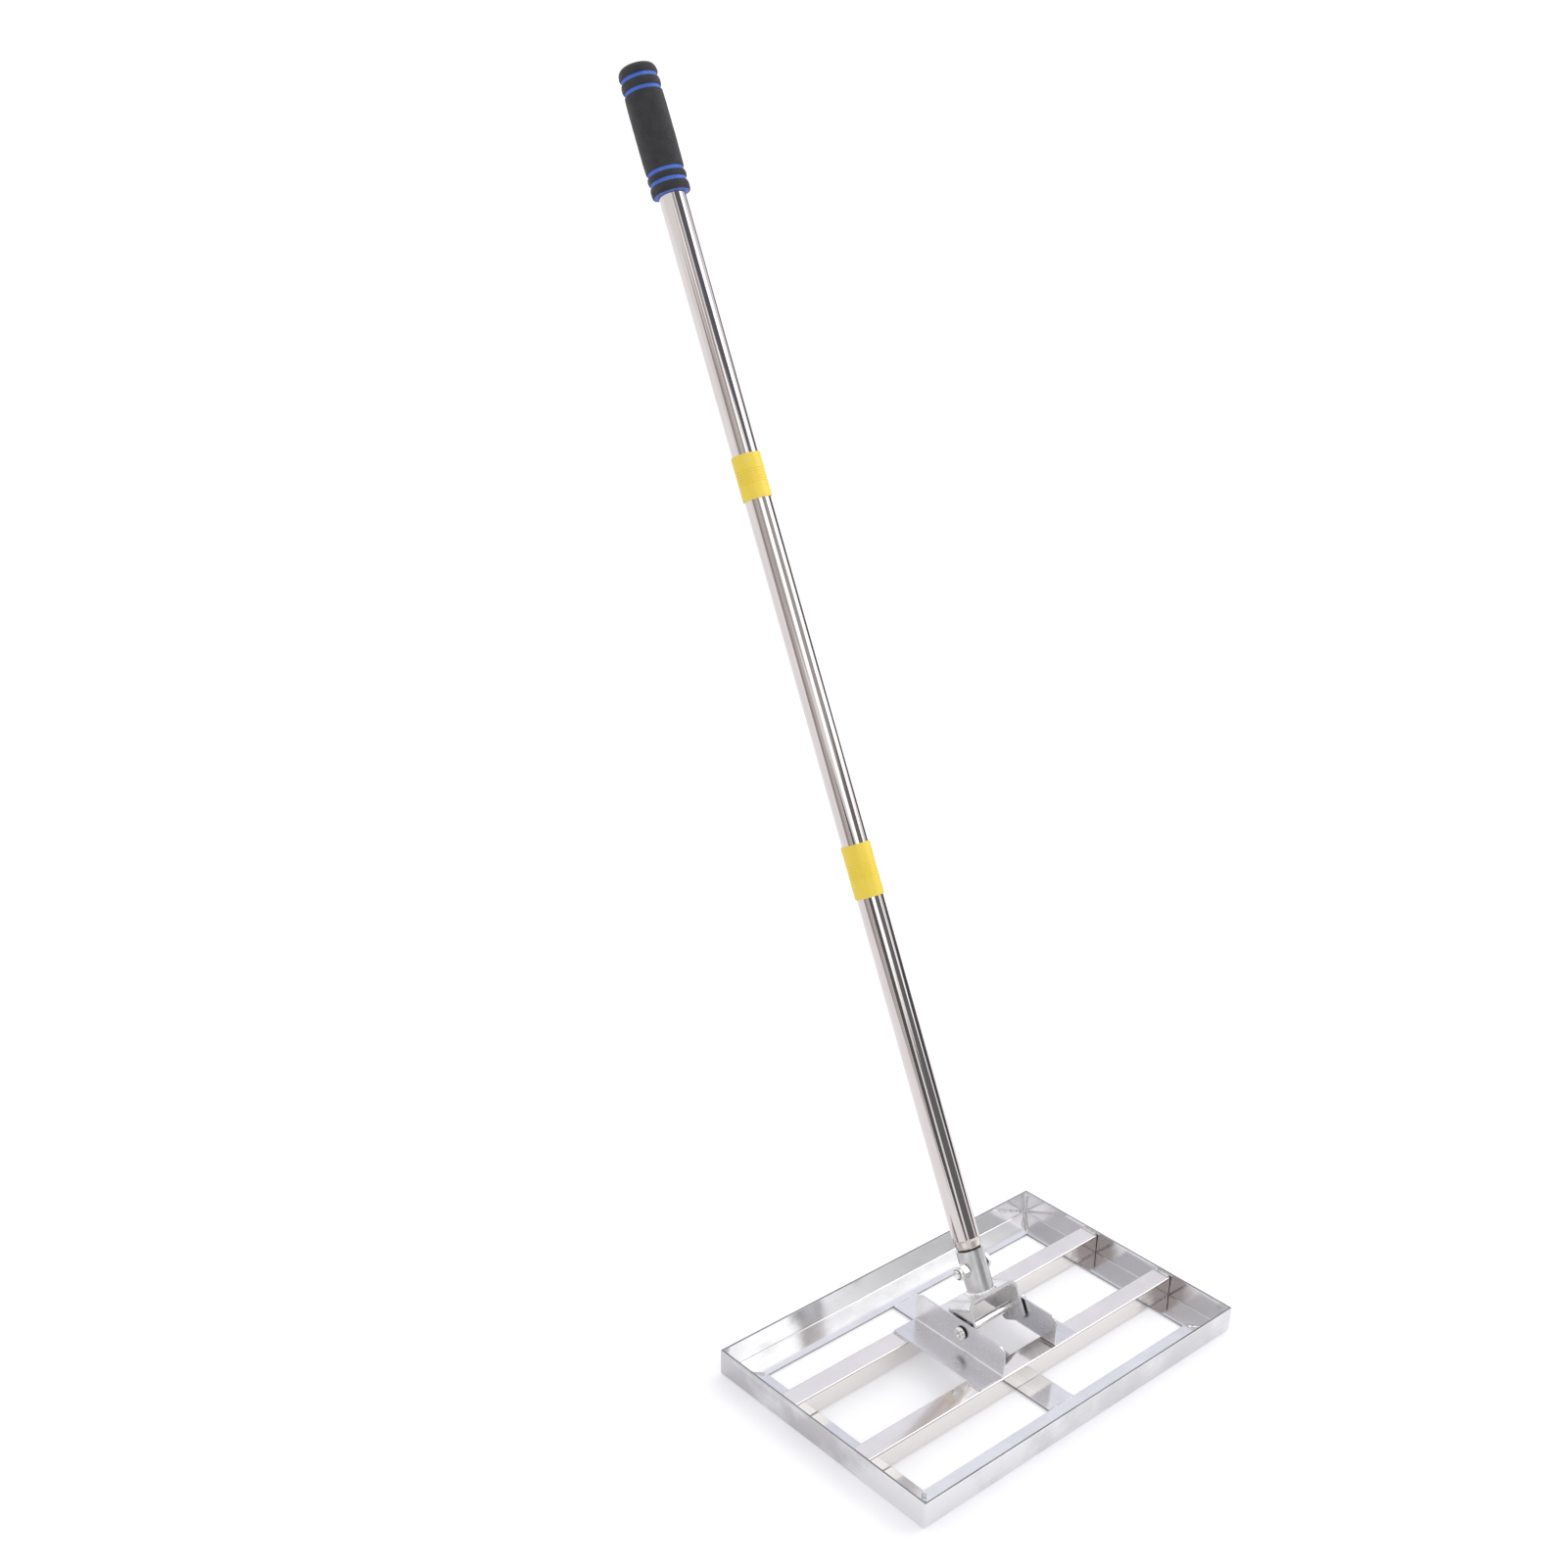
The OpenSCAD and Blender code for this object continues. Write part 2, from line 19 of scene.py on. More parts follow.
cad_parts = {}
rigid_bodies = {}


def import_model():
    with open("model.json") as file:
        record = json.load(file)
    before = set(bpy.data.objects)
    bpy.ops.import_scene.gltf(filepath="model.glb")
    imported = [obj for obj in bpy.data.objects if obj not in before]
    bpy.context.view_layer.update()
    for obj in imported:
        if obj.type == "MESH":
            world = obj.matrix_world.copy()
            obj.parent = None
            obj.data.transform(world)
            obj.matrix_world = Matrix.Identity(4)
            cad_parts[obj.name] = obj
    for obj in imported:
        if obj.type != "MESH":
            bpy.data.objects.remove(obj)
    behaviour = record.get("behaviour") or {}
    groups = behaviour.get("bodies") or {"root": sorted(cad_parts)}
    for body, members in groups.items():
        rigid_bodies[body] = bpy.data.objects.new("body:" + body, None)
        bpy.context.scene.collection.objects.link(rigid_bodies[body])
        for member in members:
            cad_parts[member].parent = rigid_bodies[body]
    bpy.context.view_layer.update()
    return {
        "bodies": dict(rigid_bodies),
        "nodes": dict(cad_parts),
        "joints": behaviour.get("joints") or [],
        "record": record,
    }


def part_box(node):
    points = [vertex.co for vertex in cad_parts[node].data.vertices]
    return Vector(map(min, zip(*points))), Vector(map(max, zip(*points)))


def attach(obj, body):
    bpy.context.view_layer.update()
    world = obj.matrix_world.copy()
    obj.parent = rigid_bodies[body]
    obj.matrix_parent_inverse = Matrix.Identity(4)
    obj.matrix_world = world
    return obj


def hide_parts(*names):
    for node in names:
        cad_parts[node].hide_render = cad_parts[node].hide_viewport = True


log = logging.getLogger("leveling_rake")

MM = 0.001
TURN = 2.0 * math.pi
QUARTER = math.radians(90)
SIDES = (-1.0, 1.0)
HEAD = "head"
HANDLE = "handle"
MERGE_DISTANCE = 1e-6
CUT_DISTANCE = 1e-7
OVERRUN = 1.0 * MM
FLAT_SHARE = 0.9
SHARP_ANGLE = math.radians(38)
ROUND_PROFILE = 0.5
NORMAL_WEIGHT = 90
NOISE_RANGE = (0.3, 0.7)
WHITE = (1.0, 1.0, 1.0, 1.0)
BLACK = (0.0, 0.0, 0.0, 1.0)
LAY_ALONG_X = Matrix.Rotation(QUARTER, 4, "Y")
LAY_ALONG_Y = Matrix.Rotation(-QUARTER, 4, "X")
UPSIDE_DOWN = Matrix.Rotation(2.0 * QUARTER, 4, "X")

Mesh = bmesh.types.BMesh
Edge = bmesh.types.BMEdge
Face = bmesh.types.BMFace
Corner = bmesh.types.BMVert
Value = bpy.types.NodeSocket
Point = tuple[float, float]
Triple = tuple[float, float, float]
Colour = Triple


class Combine(Enum):
    """Ways to combine two closed shapes."""

    CUT = "DIFFERENCE"
    JOIN = "UNION"
    COMMON = "INTERSECT"


class Rounding(Enum):
    """What a rounding works on."""

    EDGES = "EDGES"
    CORNERS = "VERTICES"


class Arithmetic(Enum):
    """Ways to work out one node value from two."""

    ADD = "ADD"
    TIMES = "MULTIPLY"
    LARGER = "MAXIMUM"


class Grain(Enum):
    """Direction of the drawn or brushed lines on a metal."""

    ALONG_HEAD = 0
    ACROSS_HEAD = 1
    UP_HANDLE = 2


@dataclass(frozen=True)
class HandleLine:
    """The handle's own frame: its origin on the pivot and its Z up the handle."""

    pivot: Vector
    lean: float
    nodes: dict[str, bpy.types.Object]

    @classmethod
    def from_frame(cls, frame: dict) -> "HandleLine":
        """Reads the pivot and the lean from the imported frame.


        Returns:
            The handle's frame at rest.
        """
        tilt = next(joint for joint in frame["joints"] if joint["name"] == "handle_tilt")
        hold = next(mount for mount in frame["record"]["mounts"] if mount["name"] == "grip_hold")
        up = Vector(hold["axis"])
        return cls(Vector(tilt["pos_m"]), math.atan2(up.y, up.z), frame["nodes"])

    @property
    def matrix(self) -> Matrix:
        """Matrix from the handle's frame to the head's."""
        return Matrix.Translation(self.pivot) @ Matrix.Rotation(-self.lean, 4, "X")

    @property
    def axle(self) -> Matrix:
        """Matrix that lays Z along the pivot's axis, towards positive X."""
        return Matrix.Translation(self.pivot) @ LAY_ALONG_X

    def points(self, node: str) -> list[Vector]:
        """Points of a solid in the handle's frame."""
        back = self.matrix.inverted()
        return [back @ point.co for point in self.nodes[node].data.vertices]

    def span(self, node: str) -> Point:
        """Lowest and highest place of a solid up the handle from the pivot."""
        heights = [point.z for point in self.points(node)]
        return min(heights), max(heights)

    def radius(self, node: str) -> float:
        """Largest distance of a solid from the handle's axis."""
        return max(point.xy.length for point in self.points(node))


def seal(mesh: Mesh) -> Mesh:
    """Merges doubled points and turns every face outwards.

    Args:
        mesh: The shape.

    Returns:
        The same shape.
    """
    bmesh.ops.remove_doubles(mesh, verts=mesh.verts, dist=MERGE_DISTANCE)
    bmesh.ops.recalc_face_normals(mesh, faces=mesh.faces)
    return mesh


def placed(mesh: Mesh, matrix: Matrix) -> Mesh:
    """Moves a whole shape by a matrix."""
    bmesh.ops.transform(mesh, matrix=matrix, verts=mesh.verts)
    return mesh


def painted(mesh: Mesh, finish: Callable[[Face], int]) -> Mesh:
    """Sets which of its piece's finishes each face wears.

    Args:
        mesh: The shape.
        finish: Gives the number of a face's finish.

    Returns:
        The same shape.
    """
    mesh.normal_update()
    for face in mesh.faces:
        face.material_index = int(finish(face))
    return mesh


def lies_at(point: Corner, places: dict[str, float]) -> bool:
    """Whether a point lies at the coordinates that are given."""
    gaps = [abs(getattr(point.co, axis) - place) for axis, place in places.items()]
    return max(gaps) < MERGE_DISTANCE


def corners_at(mesh: Mesh, **places: float) -> list[Corner]:
    """Points of a shape at the given coordinates, such as z=0.02."""
    return [point for point in mesh.verts if lies_at(point, places)]


def edges_at(mesh: Mesh, **places: float) -> list[Edge]:
    """Edges of a shape with both ends at the given coordinates."""
    return [edge for edge in mesh.edges if all(lies_at(point, places) for point in edge.verts)]


def is_sharp(edge: Edge) -> bool:
    """Whether two faces meet in a clear angle at an edge."""
    return edge.is_manifold and edge.calc_face_angle(0.0) > SHARP_ANGLE


def block(low: Vector, high: Vector) -> Mesh:
    """Makes a box between two corners.

    Args:
        low: Its lowest corner.
        high: Its highest corner.

    Returns:
        The box.
    """
    mesh = bmesh.new()
    matrix = Matrix.Translation((low + high) / 2) @ Matrix.Diagonal((*(high - low), 1.0))
    bmesh.ops.create_cube(mesh, size=1.0, matrix=matrix)
    return mesh


def rounded(
    mesh: Mesh, parts: Iterable[Edge | Corner], radius: float, segments: int,
    kind: Rounding = Rounding.EDGES,
) -> Mesh:
    """Rounds edges of a shape, or corners of an open sheet.

    Args:
        mesh: The shape.
        parts: Edges or corner points to round.
        radius: How far from each of them the rounding starts.
        segments: Faces across the rounding.
        kind: Which of the two they are.

    Returns:
        The same shape.
    """
    bmesh.ops.bevel(
        mesh, geom=list(parts), offset=radius, offset_type="OFFSET", segments=segments,
        profile=ROUND_PROFILE, affect=kind.value, clamp_overlap=True, material=-1,
    )
    return mesh


def softened(mesh: Mesh, radius: float) -> Mesh:
    """Rounds every sharp edge of a closed shape."""
    return rounded(mesh, [edge for edge in mesh.edges if is_sharp(edge)], radius, 2)


def arc(centre: Point, radius: float, start: float, end: float, count: int) -> list[Point]:
    """Points along a round stretch of an outline.

    Args:
        centre: Centre of the arc.
        radius: Its radius.
        start: Angle of its first point, in degrees.
        end: Angle of its last point, in degrees.
        count: Number of steps between them.

    Returns:
        The points in order.
    """
    turns = [math.radians(start + (end - start) * step / count) for step in range(count + 1)]
    return [(centre[0] + radius * math.cos(turn), centre[1] + radius * math.sin(turn)) for turn in turns]


def turned(outline: list[Point], closed: bool = False, steps: int = 96) -> Mesh:
    """Spins an outline about Z.

    Args:
        outline: Points of radius and height, in order.
        closed: Whether the last point joins the first.
        steps: Faces round the shape.

    Returns:
        The closed shape.
    """
    mesh = bmesh.new()
    points = [mesh.verts.new((radius, 0.0, height)) for radius, height in outline]
    pairs = list(zip(points, points[1:]))
    if closed:
        pairs.append((points[-1], points[0]))
    edges = [mesh.edges.new(pair) for pair in pairs]
    bmesh.ops.spin(
        mesh, geom=points + edges, cent=(0.0, 0.0, 0.0), axis=(0.0, 0.0, 1.0), angle=TURN, steps=steps,
        use_merge=True,
    )
    return seal(mesh)


def pipe(outer: float, inner: float, low: float, high: float, edge: float) -> Mesh:
    """Makes a round tube along Z with softened rims.

    Args:
        outer: Outer radius.
        inner: Inner radius.
        low: Lower end.
        high: Upper end.
        edge: Radius of the rims' edges.

    Returns:
        The tube.
    """
    tube = turned([(inner, low), (outer, low), (outer, high), (inner, high)], closed=True)
    return softened(tube, edge)


def rod(radius: float, low: float, high: float) -> Mesh:
    """Makes a plain round rod along Z."""
    return turned([(0.0, low), (radius, low), (radius, high), (0.0, high)])


def drawn_out(mesh: Mesh, grown: dict, along: Vector) -> None:
    """Moves the far end of what an operator has just extruded."""
    far = [item for item in grown["geom"] if isinstance(item, Corner)]
    bmesh.ops.translate(mesh, vec=along, verts=far)


def prism(outline: list[Point], length: float) -> Mesh:
    """Draws an outline in Y and Z out along X.

    Args:
        outline: Corners of the section, in order.
        length: Length of the prism, centred on the origin.

    Returns:
        The closed prism.
    """
    mesh = bmesh.new()
    section = mesh.faces.new([mesh.verts.new((-length / 2, y, z)) for y, z in outline])
    drawn_out(mesh, bmesh.ops.extrude_face_region(mesh, geom=[section]), Vector((length, 0.0, 0.0)))
    return seal(mesh)


def folded_sheet(path: list[Vector], along: Vector, outside: Vector) -> Mesh:
    """Draws a folded line out into an open sheet.

    Args:
        path: Points of the line across the folds.
        along: Direction and length of the sheet along its folds.
        outside: Direction that the sheet's outer side faces on one of its flat stretches.

    Returns:
        The sheet, its faces pointing to the outside of the folds.
    """
    mesh = bmesh.new()
    points = [mesh.verts.new(point) for point in path]
    edges = [mesh.edges.new(pair) for pair in zip(points, points[1:])]
    drawn_out(mesh, bmesh.ops.extrude_edge_only(mesh, edges=edges), along)
    bmesh.ops.recalc_face_normals(mesh, faces=mesh.faces)
    flat = max(mesh.faces, key=lambda face: abs(face.normal.dot(outside)))
    if flat.normal.dot(outside) < 0.0:
        bmesh.ops.reverse_faces(mesh, faces=mesh.faces)
    return mesh


def thickened(mesh: Mesh, thickness: float) -> Mesh:
    """Gives an open sheet its thickness, inwards from its faces."""
    bmesh.ops.solidify(mesh, geom=mesh.faces[:], thickness=thickness)
    return seal(mesh)


def cut_off(mesh: Mesh, point: Vector, normal: Vector) -> Mesh:
    """Cuts off what lies beyond a plane and closes the cut.

    Args:
        mesh: The shape.
        point: A point on the plane.
        normal: Direction of what is cut off.

    Returns:
        The same shape.
    """
    everything = mesh.verts[:] + mesh.edges[:] + mesh.faces[:]
    result = bmesh.ops.bisect_plane(
        mesh, geom=everything, dist=CUT_DISTANCE, plane_co=point, plane_no=normal, clear_outer=True
    )
    rim = [item for item in result["geom_cut"] if isinstance(item, Edge)]
    bmesh.ops.edgeloop_fill(mesh, edges=rim)
    return seal(mesh)


def stored(mesh: Mesh, name: str) -> bpy.types.Mesh:
    """Moves a shape into mesh data of Blender's own.

    Args:
        mesh: The shape, which is freed.
        name: Name of the data.

    Returns:
        The data.
    """
    data = bpy.data.meshes.new(name)
    mesh.to_mesh(data)
    mesh.free()
    return data


def shown(name: str, data: bpy.types.ID) -> bpy.types.Object:
    """Puts data into the scene as a new object.

    Args:
        name: Name of the object.
        data: Its mesh, lamp or camera data.

    Returns:
        The object.
    """
    thing = bpy.data.objects.new(name, data)
    bpy.context.scene.collection.objects.link(thing)
    return thing


def gathered(meshes: Iterable[Mesh]) -> Mesh:
    """Puts several shapes into one mesh.

    Args:
        meshes: The shapes, which are freed.

    Returns:
        The one mesh.
    """
    whole = bmesh.new()
    for mesh in meshes:
        data = stored(mesh, "part")
        whole.from_mesh(data)
        bpy.data.meshes.remove(data)
    return whole


def combined(blank: Mesh, tool: Mesh, way: Combine) -> Mesh:
    """Combines two closed shapes.

    Args:
        blank: The first shape.
        tool: The second shape.
        way: Whether the second is cut out, joined on or intersected.

    Returns:
        The new closed shape.
    """
    holders = [shown("combine", stored(mesh, "combine")) for mesh in (blank, tool)]
    modifier = holders[0].modifiers.new("combine", "BOOLEAN")
    modifier.operation = way.value
    modifier.solver = "EXACT"
    modifier.object = holders[1]
    result = bmesh.new()
    result.from_object(holders[0], bpy.context.evaluated_depsgraph_get())
    for holder in holders:
        data = holder.data
        bpy.data.objects.remove(holder)
        bpy.data.meshes.remove(data)
    return seal(result)


def roughened(mesh: Mesh, depth: float, size: float, seed: float) -> Mesh:
    """Swells and shrinks a shape along its normals in soft lumps.

    Args:
        mesh: The shape.
        depth: Largest shift.
        size: Size of the lumps.
        seed: Place in the noise.

    Returns:
        The same shape.
    """
    mesh.normal_update()
    for point in mesh.verts:
        lump = noise.noise(point.co / size + Vector((seed, 2.0 * seed, 0.0)))
        point.co += point.normal * depth * lump
    return mesh


def bead(length: float, radius: float, ripples: int, seed: float) -> Mesh:
    """Makes a rippled weld bead with rounded ends, up Z from the origin.

    Args:
        length: Length of the bead.
        radius: Its radius.
        ripples: Number of overlapping drops in it.
        seed: Place in the noise that makes it uneven.

    Returns:
        The closed bead.
    """
    rings_per_ripple = 6
    ripple_depth = 0.22
    lump_depth = 0.22
    lump_size = 1.6
    rings = rings_per_ripple * ripples
    outline: list[Point] = []
    for ring in range(rings + 1):
        along = ring / rings
        height = along * length
        from_end = min(height, length - height)
        end = math.sqrt(max(1.0 - max(1.0 - from_end / radius, 0.0) ** 2, 0.0))
        drop = 1.0 - ripple_depth * (1.0 - abs(math.sin(math.pi * ripples * along)))
        outline.append((radius * end * drop, height))
    return roughened(turned(outline, steps=16), lump_depth * radius, lump_size * radius, seed)


def hex_block(across: float, height: float, edge: float) -> Mesh:
    """Makes a hexagon with a chamfered round upper face, standing on the origin.

    Args:
        across: Width across the flats.
        height: Its height.
        edge: Radius of its softened edges.

    Returns:
        The hexagon along Z.
    """
    face = 0.48 * across
    corner = across / math.sqrt(3.0)
    clear = 1.3 * corner
    slope = math.tan(math.radians(30))
    mesh = bmesh.new()
    middle = Matrix.Translation((0.0, 0.0, height / 2))
    bmesh.ops.create_cone(
        mesh, cap_ends=True, segments=6, radius1=corner, radius2=corner, depth=height, matrix=middle
    )
    outline = [(0.0, -OVERRUN), (clear, -OVERRUN), (clear, height - (clear - face) * slope)]
    outline += [(face - OVERRUN / slope, height + OVERRUN), (0.0, height + OVERRUN)]
    return softened(combined(mesh, turned(outline), Combine.COMMON), edge)


def threaded_rod(radius: float, low: float, thread: float, high: float, pitch: float) -> Mesh:
    """Makes a rod along Z whose lower stretch carries thread ridges.

    Args:
        radius: Radius over the ridges.
        low: Free end of the rod.
        thread: Place where the ridges stop.
        high: Other end of the rod.
        pitch: Distance between ridges.

    Returns:
        The rod.
    """
    depth = 0.55 * pitch
    root = radius - depth
    ridge_profile = ((root, 0.15), (radius, 0.5), (radius, 0.6), (root, 0.95))
    outline = [(0.0, low), (root, low)]
    for ridge in range(int((thread - low) / pitch)):
        start = low + ridge * pitch
        outline += [(reach, start + share * pitch) for reach, share in ridge_profile]
    outline += [(radius, thread + depth), (radius, high), (0.0, high)]
    return turned(outline, steps=48)


class Nodes:
    """Writes nodes into one node tree."""

    def __init__(self, tree: bpy.types.NodeTree) -> None:
        """Keeps the tree."""
        self.tree = tree

    def fill(self, node: bpy.types.Node, inputs: dict[str | int, object]) -> bpy.types.Node:
        """Links or sets the inputs of a node.

        Args:
            node: The node.
            inputs: An output to link or a value to set, by the input's name or number.

        Returns:
            The same node.
        """
        for name, value in inputs.items():
            if isinstance(value, Value):
                self.tree.links.new(value, node.inputs[name])
            else:
                node.inputs[name].default_value = value
        return node

    def new(
        self, kind: str, inputs: dict[str | int, object], **options: str
    ) -> bpy.types.bpy_prop_collection:
        """Adds a node.

        Args:
            kind: Its kind, without the prefix that shader nodes share.
            inputs: Its inputs, as for fill.
            options: Its choices.

        Returns:
            Its outputs.
        """
        node = self.tree.nodes.new(f"ShaderNode{kind}")
        for name, value in options.items():
            setattr(node, name, value)
        return self.fill(node, inputs).outputs

    def worked_out(self, way: Arithmetic, first: Value, second: Value) -> Value:
        """Works out one value from two."""
        return self.new("Math", {0: first, 1: second}, operation=way.value)[0]

    def spread(self, value: Value, source: Point, target: Point) -> Value:
        """Maps a range of values, given by its ends, onto another."""
        ends = {"From Min": source[0], "From Max": source[1], "To Min": target[0], "To Max": target[1]}
        return self.new("MapRange", {"Value": value, **ends})["Result"]

    def background_share(self) -> Value:
        """Tells the rays that show the background from those that light the object.

        Returns:
            A value that is 1 for camera, glossy and transmission rays, and 0 for the others.
        """
        path = self.new("LightPath", {})
        bent = self.worked_out(Arithmetic.LARGER, path["Is Glossy Ray"], path["Is Transmission Ray"])
        return self.worked_out(Arithmetic.LARGER, path["Is Camera Ray"], bent)


class Chart(Nodes):
    """Writes the nodes of one material."""

    def __init__(self, name: str) -> None:
        """Starts a material with its shader and coordinates.

        Args:
            name: Name of the material.
        """
        self.material = bpy.data.materials.new(name)
        self.material.use_nodes = True
        super().__init__(self.material.node_tree)
        self.shader = self.tree.nodes["Principled BSDF"]
        self.place = self.new("TexCoord", {})["Object"]

    def shade(self, **inputs: object) -> bpy.types.Material:
        """Links or sets the shader's inputs.

        Args:
            inputs: What each input gets, named with underscores for spaces.

        Returns:
            The material.
        """
        self.fill(self.shader, {name.replace("_", " "): value for name, value in inputs.items()})
        return self.material

    def on_handle(self, line: HandleLine) -> Value:
        """Coordinates in the handle's own frame."""
        inputs = {"Vector": self.place, "Location": line.pivot, "Rotation": (-line.lean, 0.0, 0.0)}
        return self.new("Mapping", inputs, vector_type="TEXTURE")["Vector"]

    def noise(self, place: Value, sizes: Triple, detail: float, seed: float = 0.0) -> Value:
        """Adds a noise pattern.

        Args:
            place: Coordinates to read.
            sizes: Size of its lumps along each axis.
            detail: Number of finer layers.
            seed: Shift of the pattern.

        Returns:
            The pattern's value.
        """
        scale = tuple(1.0 / size for size in sizes)
        spot = self.new("Mapping", {"Vector": place, "Location": (seed,) * 3, "Scale": scale})["Vector"]
        return self.new("TexNoise", {"Vector": spot, "Scale": 1.0, "Detail": detail})[0]

    def cells(self, place: Value, size: float) -> Value:
        """Adds a pattern of round cells of one size."""
        return self.new("TexVoronoi", {"Vector": place, "Scale": 1.0 / size})["Distance"]

    def far_from(self, point: Vector) -> Value:
        """Distance from a point of the object."""
        return self.new("VectorMath", {0: self.place, 1: point}, operation="DISTANCE")["Value"]

    def along_head(self) -> Value:
        """Distance along the head's long side from its middle."""
        return self.new("SeparateXYZ", {"Vector": self.place})["X"]

    def tinted(self, value: Value, ends: Point, tones: tuple[Colour, Colour]) -> Value:
        """Turns a value into a colour.

        Args:
            value: The value.
            ends: The two values between which the colour changes.
            tones: The colours at these ends.

        Returns:
            The colour.
        """
        node = self.tree.nodes.new("ShaderNodeValToRGB")
        for element, position, tone in zip(node.color_ramp.elements, ends, tones):
            element.position = position
            element.color = (*tone, 1.0)
        return self.fill(node, {"Fac": value}).outputs["Color"]

    def raised(self, *layers: tuple[Value, float]) -> Value:
        """Raises the surface by patterns.

        Args:
            layers: Each pattern, and how far its highest value stands up.

        Returns:
            The new normal.
        """
        under: dict[str, Value] = {}
        for height, depth in layers:
            under = {"Normal": self.new("Bump", {"Height": height, "Distance": depth, **under})["Normal"]}
        return under["Normal"]


@dataclass(frozen=True)
class Finish:
    """What a piece wears, and the record's slot that it stands for."""

    name: str
    slot: str

    @property
    def label(self) -> str:
        """Name of the finish's material, apart from the record's slots."""
        return f"{self.name}_look"

    def material(self, line: HandleLine) -> bpy.types.Material:
        """The finish's material, made once."""
        return bpy.data.materials.get(self.label) or self.write(Chart(self.label), line)

    def write(self, chart: Chart, line: HandleLine) -> bpy.types.Material:
        """Writes the finish's nodes."""
        raise NotImplementedError


@dataclass(frozen=True)
class MetalFinish(Finish):
    """Steel with drawn lines, dull clouds and slightly uneven faces; some copies add painted light and shade.
    """

    clean: Colour
    dull: Colour
    roughness: Point
    grain: Grain
    line_width: float = 1.4 * MM
    line_length: float = 220.0 * MM
    line_depth: float = 0.0012 * MM
    line_share: float = 0.25
    cloud_size: float = 38.0 * MM
    cloud_share: float = 0.75
    wave_size: float = 90.0 * MM
    wave_depth: float = 0.02 * MM
    speck_size: float = 2.2 * MM
    speck_depth: float = 0.0
    tone_ends: Point = (0.15, 0.7)
    roughness_ends: Point = (0.15, 0.85)
    # Painted light: the tone rises near the head's front-left corner and falls away from it.
    painted_light_reach: Optional[Point] = None
    painted_light_tones: Point = (0.25, -0.3)
    # Weld scorch together with painted shade, darker towards the head's right end.
    scorch_and_shade_reach: Optional[Point] = None
    scorch_and_shade_tones: Point = (0.6, -0.9)

    def tone(self, chart: Chart, clouds: Value, lines: Value) -> Value:
        """Works out how clean the metal is at each place, plus any painted light and shade that the finish
        sets.

        Args:
            chart: Where the nodes go.
            clouds: Pattern of the dull clouds.
            lines: Pattern of the drawn lines.

        Returns:
            A value that rises from dull to clean, and from painted shade to painted light.
        """
        parts = [
            chart.spread(clouds, NOISE_RANGE, (0.0, self.cloud_share)),
            chart.spread(lines, NOISE_RANGE, (0.0, self.line_share)),
        ]
        # Painted light: lighter near the head's front-left corner, darker away from it.
        if self.painted_light_reach:
            away = chart.far_from(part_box("front_rail")[0])
            parts.append(chart.spread(away, self.painted_light_reach, self.painted_light_tones))
        # Weld scorch and painted shade: darker and browner towards the head's right end.
        if self.scorch_and_shade_reach:
            parts.append(chart.spread(chart.along_head(), self.scorch_and_shade_reach, self.scorch_and_shade_tones))
        tone = parts[0]
        for part in parts[1:]:
            tone = chart.worked_out(Arithmetic.ADD, tone, part)
        return tone

    def write(self, chart: Chart, line: HandleLine) -> bpy.types.Material:
        """Writes the metal's nodes.

        Args:
            chart: Where the nodes go.
            line: The handle's frame, for the lines that run up the handle.

        Returns:
            The material.
        """
        place = chart.on_handle(line) if self.grain is Grain.UP_HANDLE else chart.place
        sizes = [self.line_width] * 3
        sizes[self.grain.value] = self.line_length
        lines = chart.noise(place, tuple(sizes), 3.0)
        clouds = chart.noise(place, (self.cloud_size,) * 3, 4.0, seed=7.0)
        waves = chart.noise(place, (self.wave_size,) * 3, 0.0, seed=3.0)
        layers = [(waves, self.wave_depth), (lines, self.line_depth)]
        if self.speck_depth:
            layers.append((chart.noise(place, (self.speck_size,) * 3, 2.0, seed=11.0), self.speck_depth))
        tone = self.tone(chart, clouds, lines)
        return chart.shade(
            Base_Color=chart.tinted(tone, self.tone_ends, (self.dull, self.clean)),
            Roughness=chart.spread(tone, self.roughness_ends, self.roughness[::-1]),
            Normal=chart.raised(*layers),
            Metallic=1.0,
        )


@dataclass(frozen=True)
class PlasticFinish(Finish):
    """Moulded plastic with a faint flow pattern."""

    light: Colour
    deep: Colour
    roughness: Point
    flow_size: float = 14.0 * MM
    flow_stretch: float = 3.0
    flow_ends: Point = (0.3, 0.65)
    pore_size: float = 0.5 * MM
    pore_depth: float = 0.006 * MM

    def write(self, chart: Chart, line: HandleLine) -> bpy.types.Material:
        """Writes the plastic's nodes.

        Args:
            chart: Where the nodes go.
            line: The handle's frame, which the flow pattern follows.

        Returns:
            The material.
        """
        place = chart.on_handle(line)
        flow = chart.noise(place, (self.flow_size, self.flow_size, self.flow_stretch * self.flow_size), 3.0)
        pores = chart.noise(place, (self.pore_size,) * 3, 2.0, seed=5.0)
        return chart.shade(
            Base_Color=chart.tinted(flow, self.flow_ends, (self.deep, self.light)),
            Roughness=chart.spread(flow, NOISE_RANGE, self.roughness),
            Normal=chart.raised((pores, self.pore_depth)),
        )


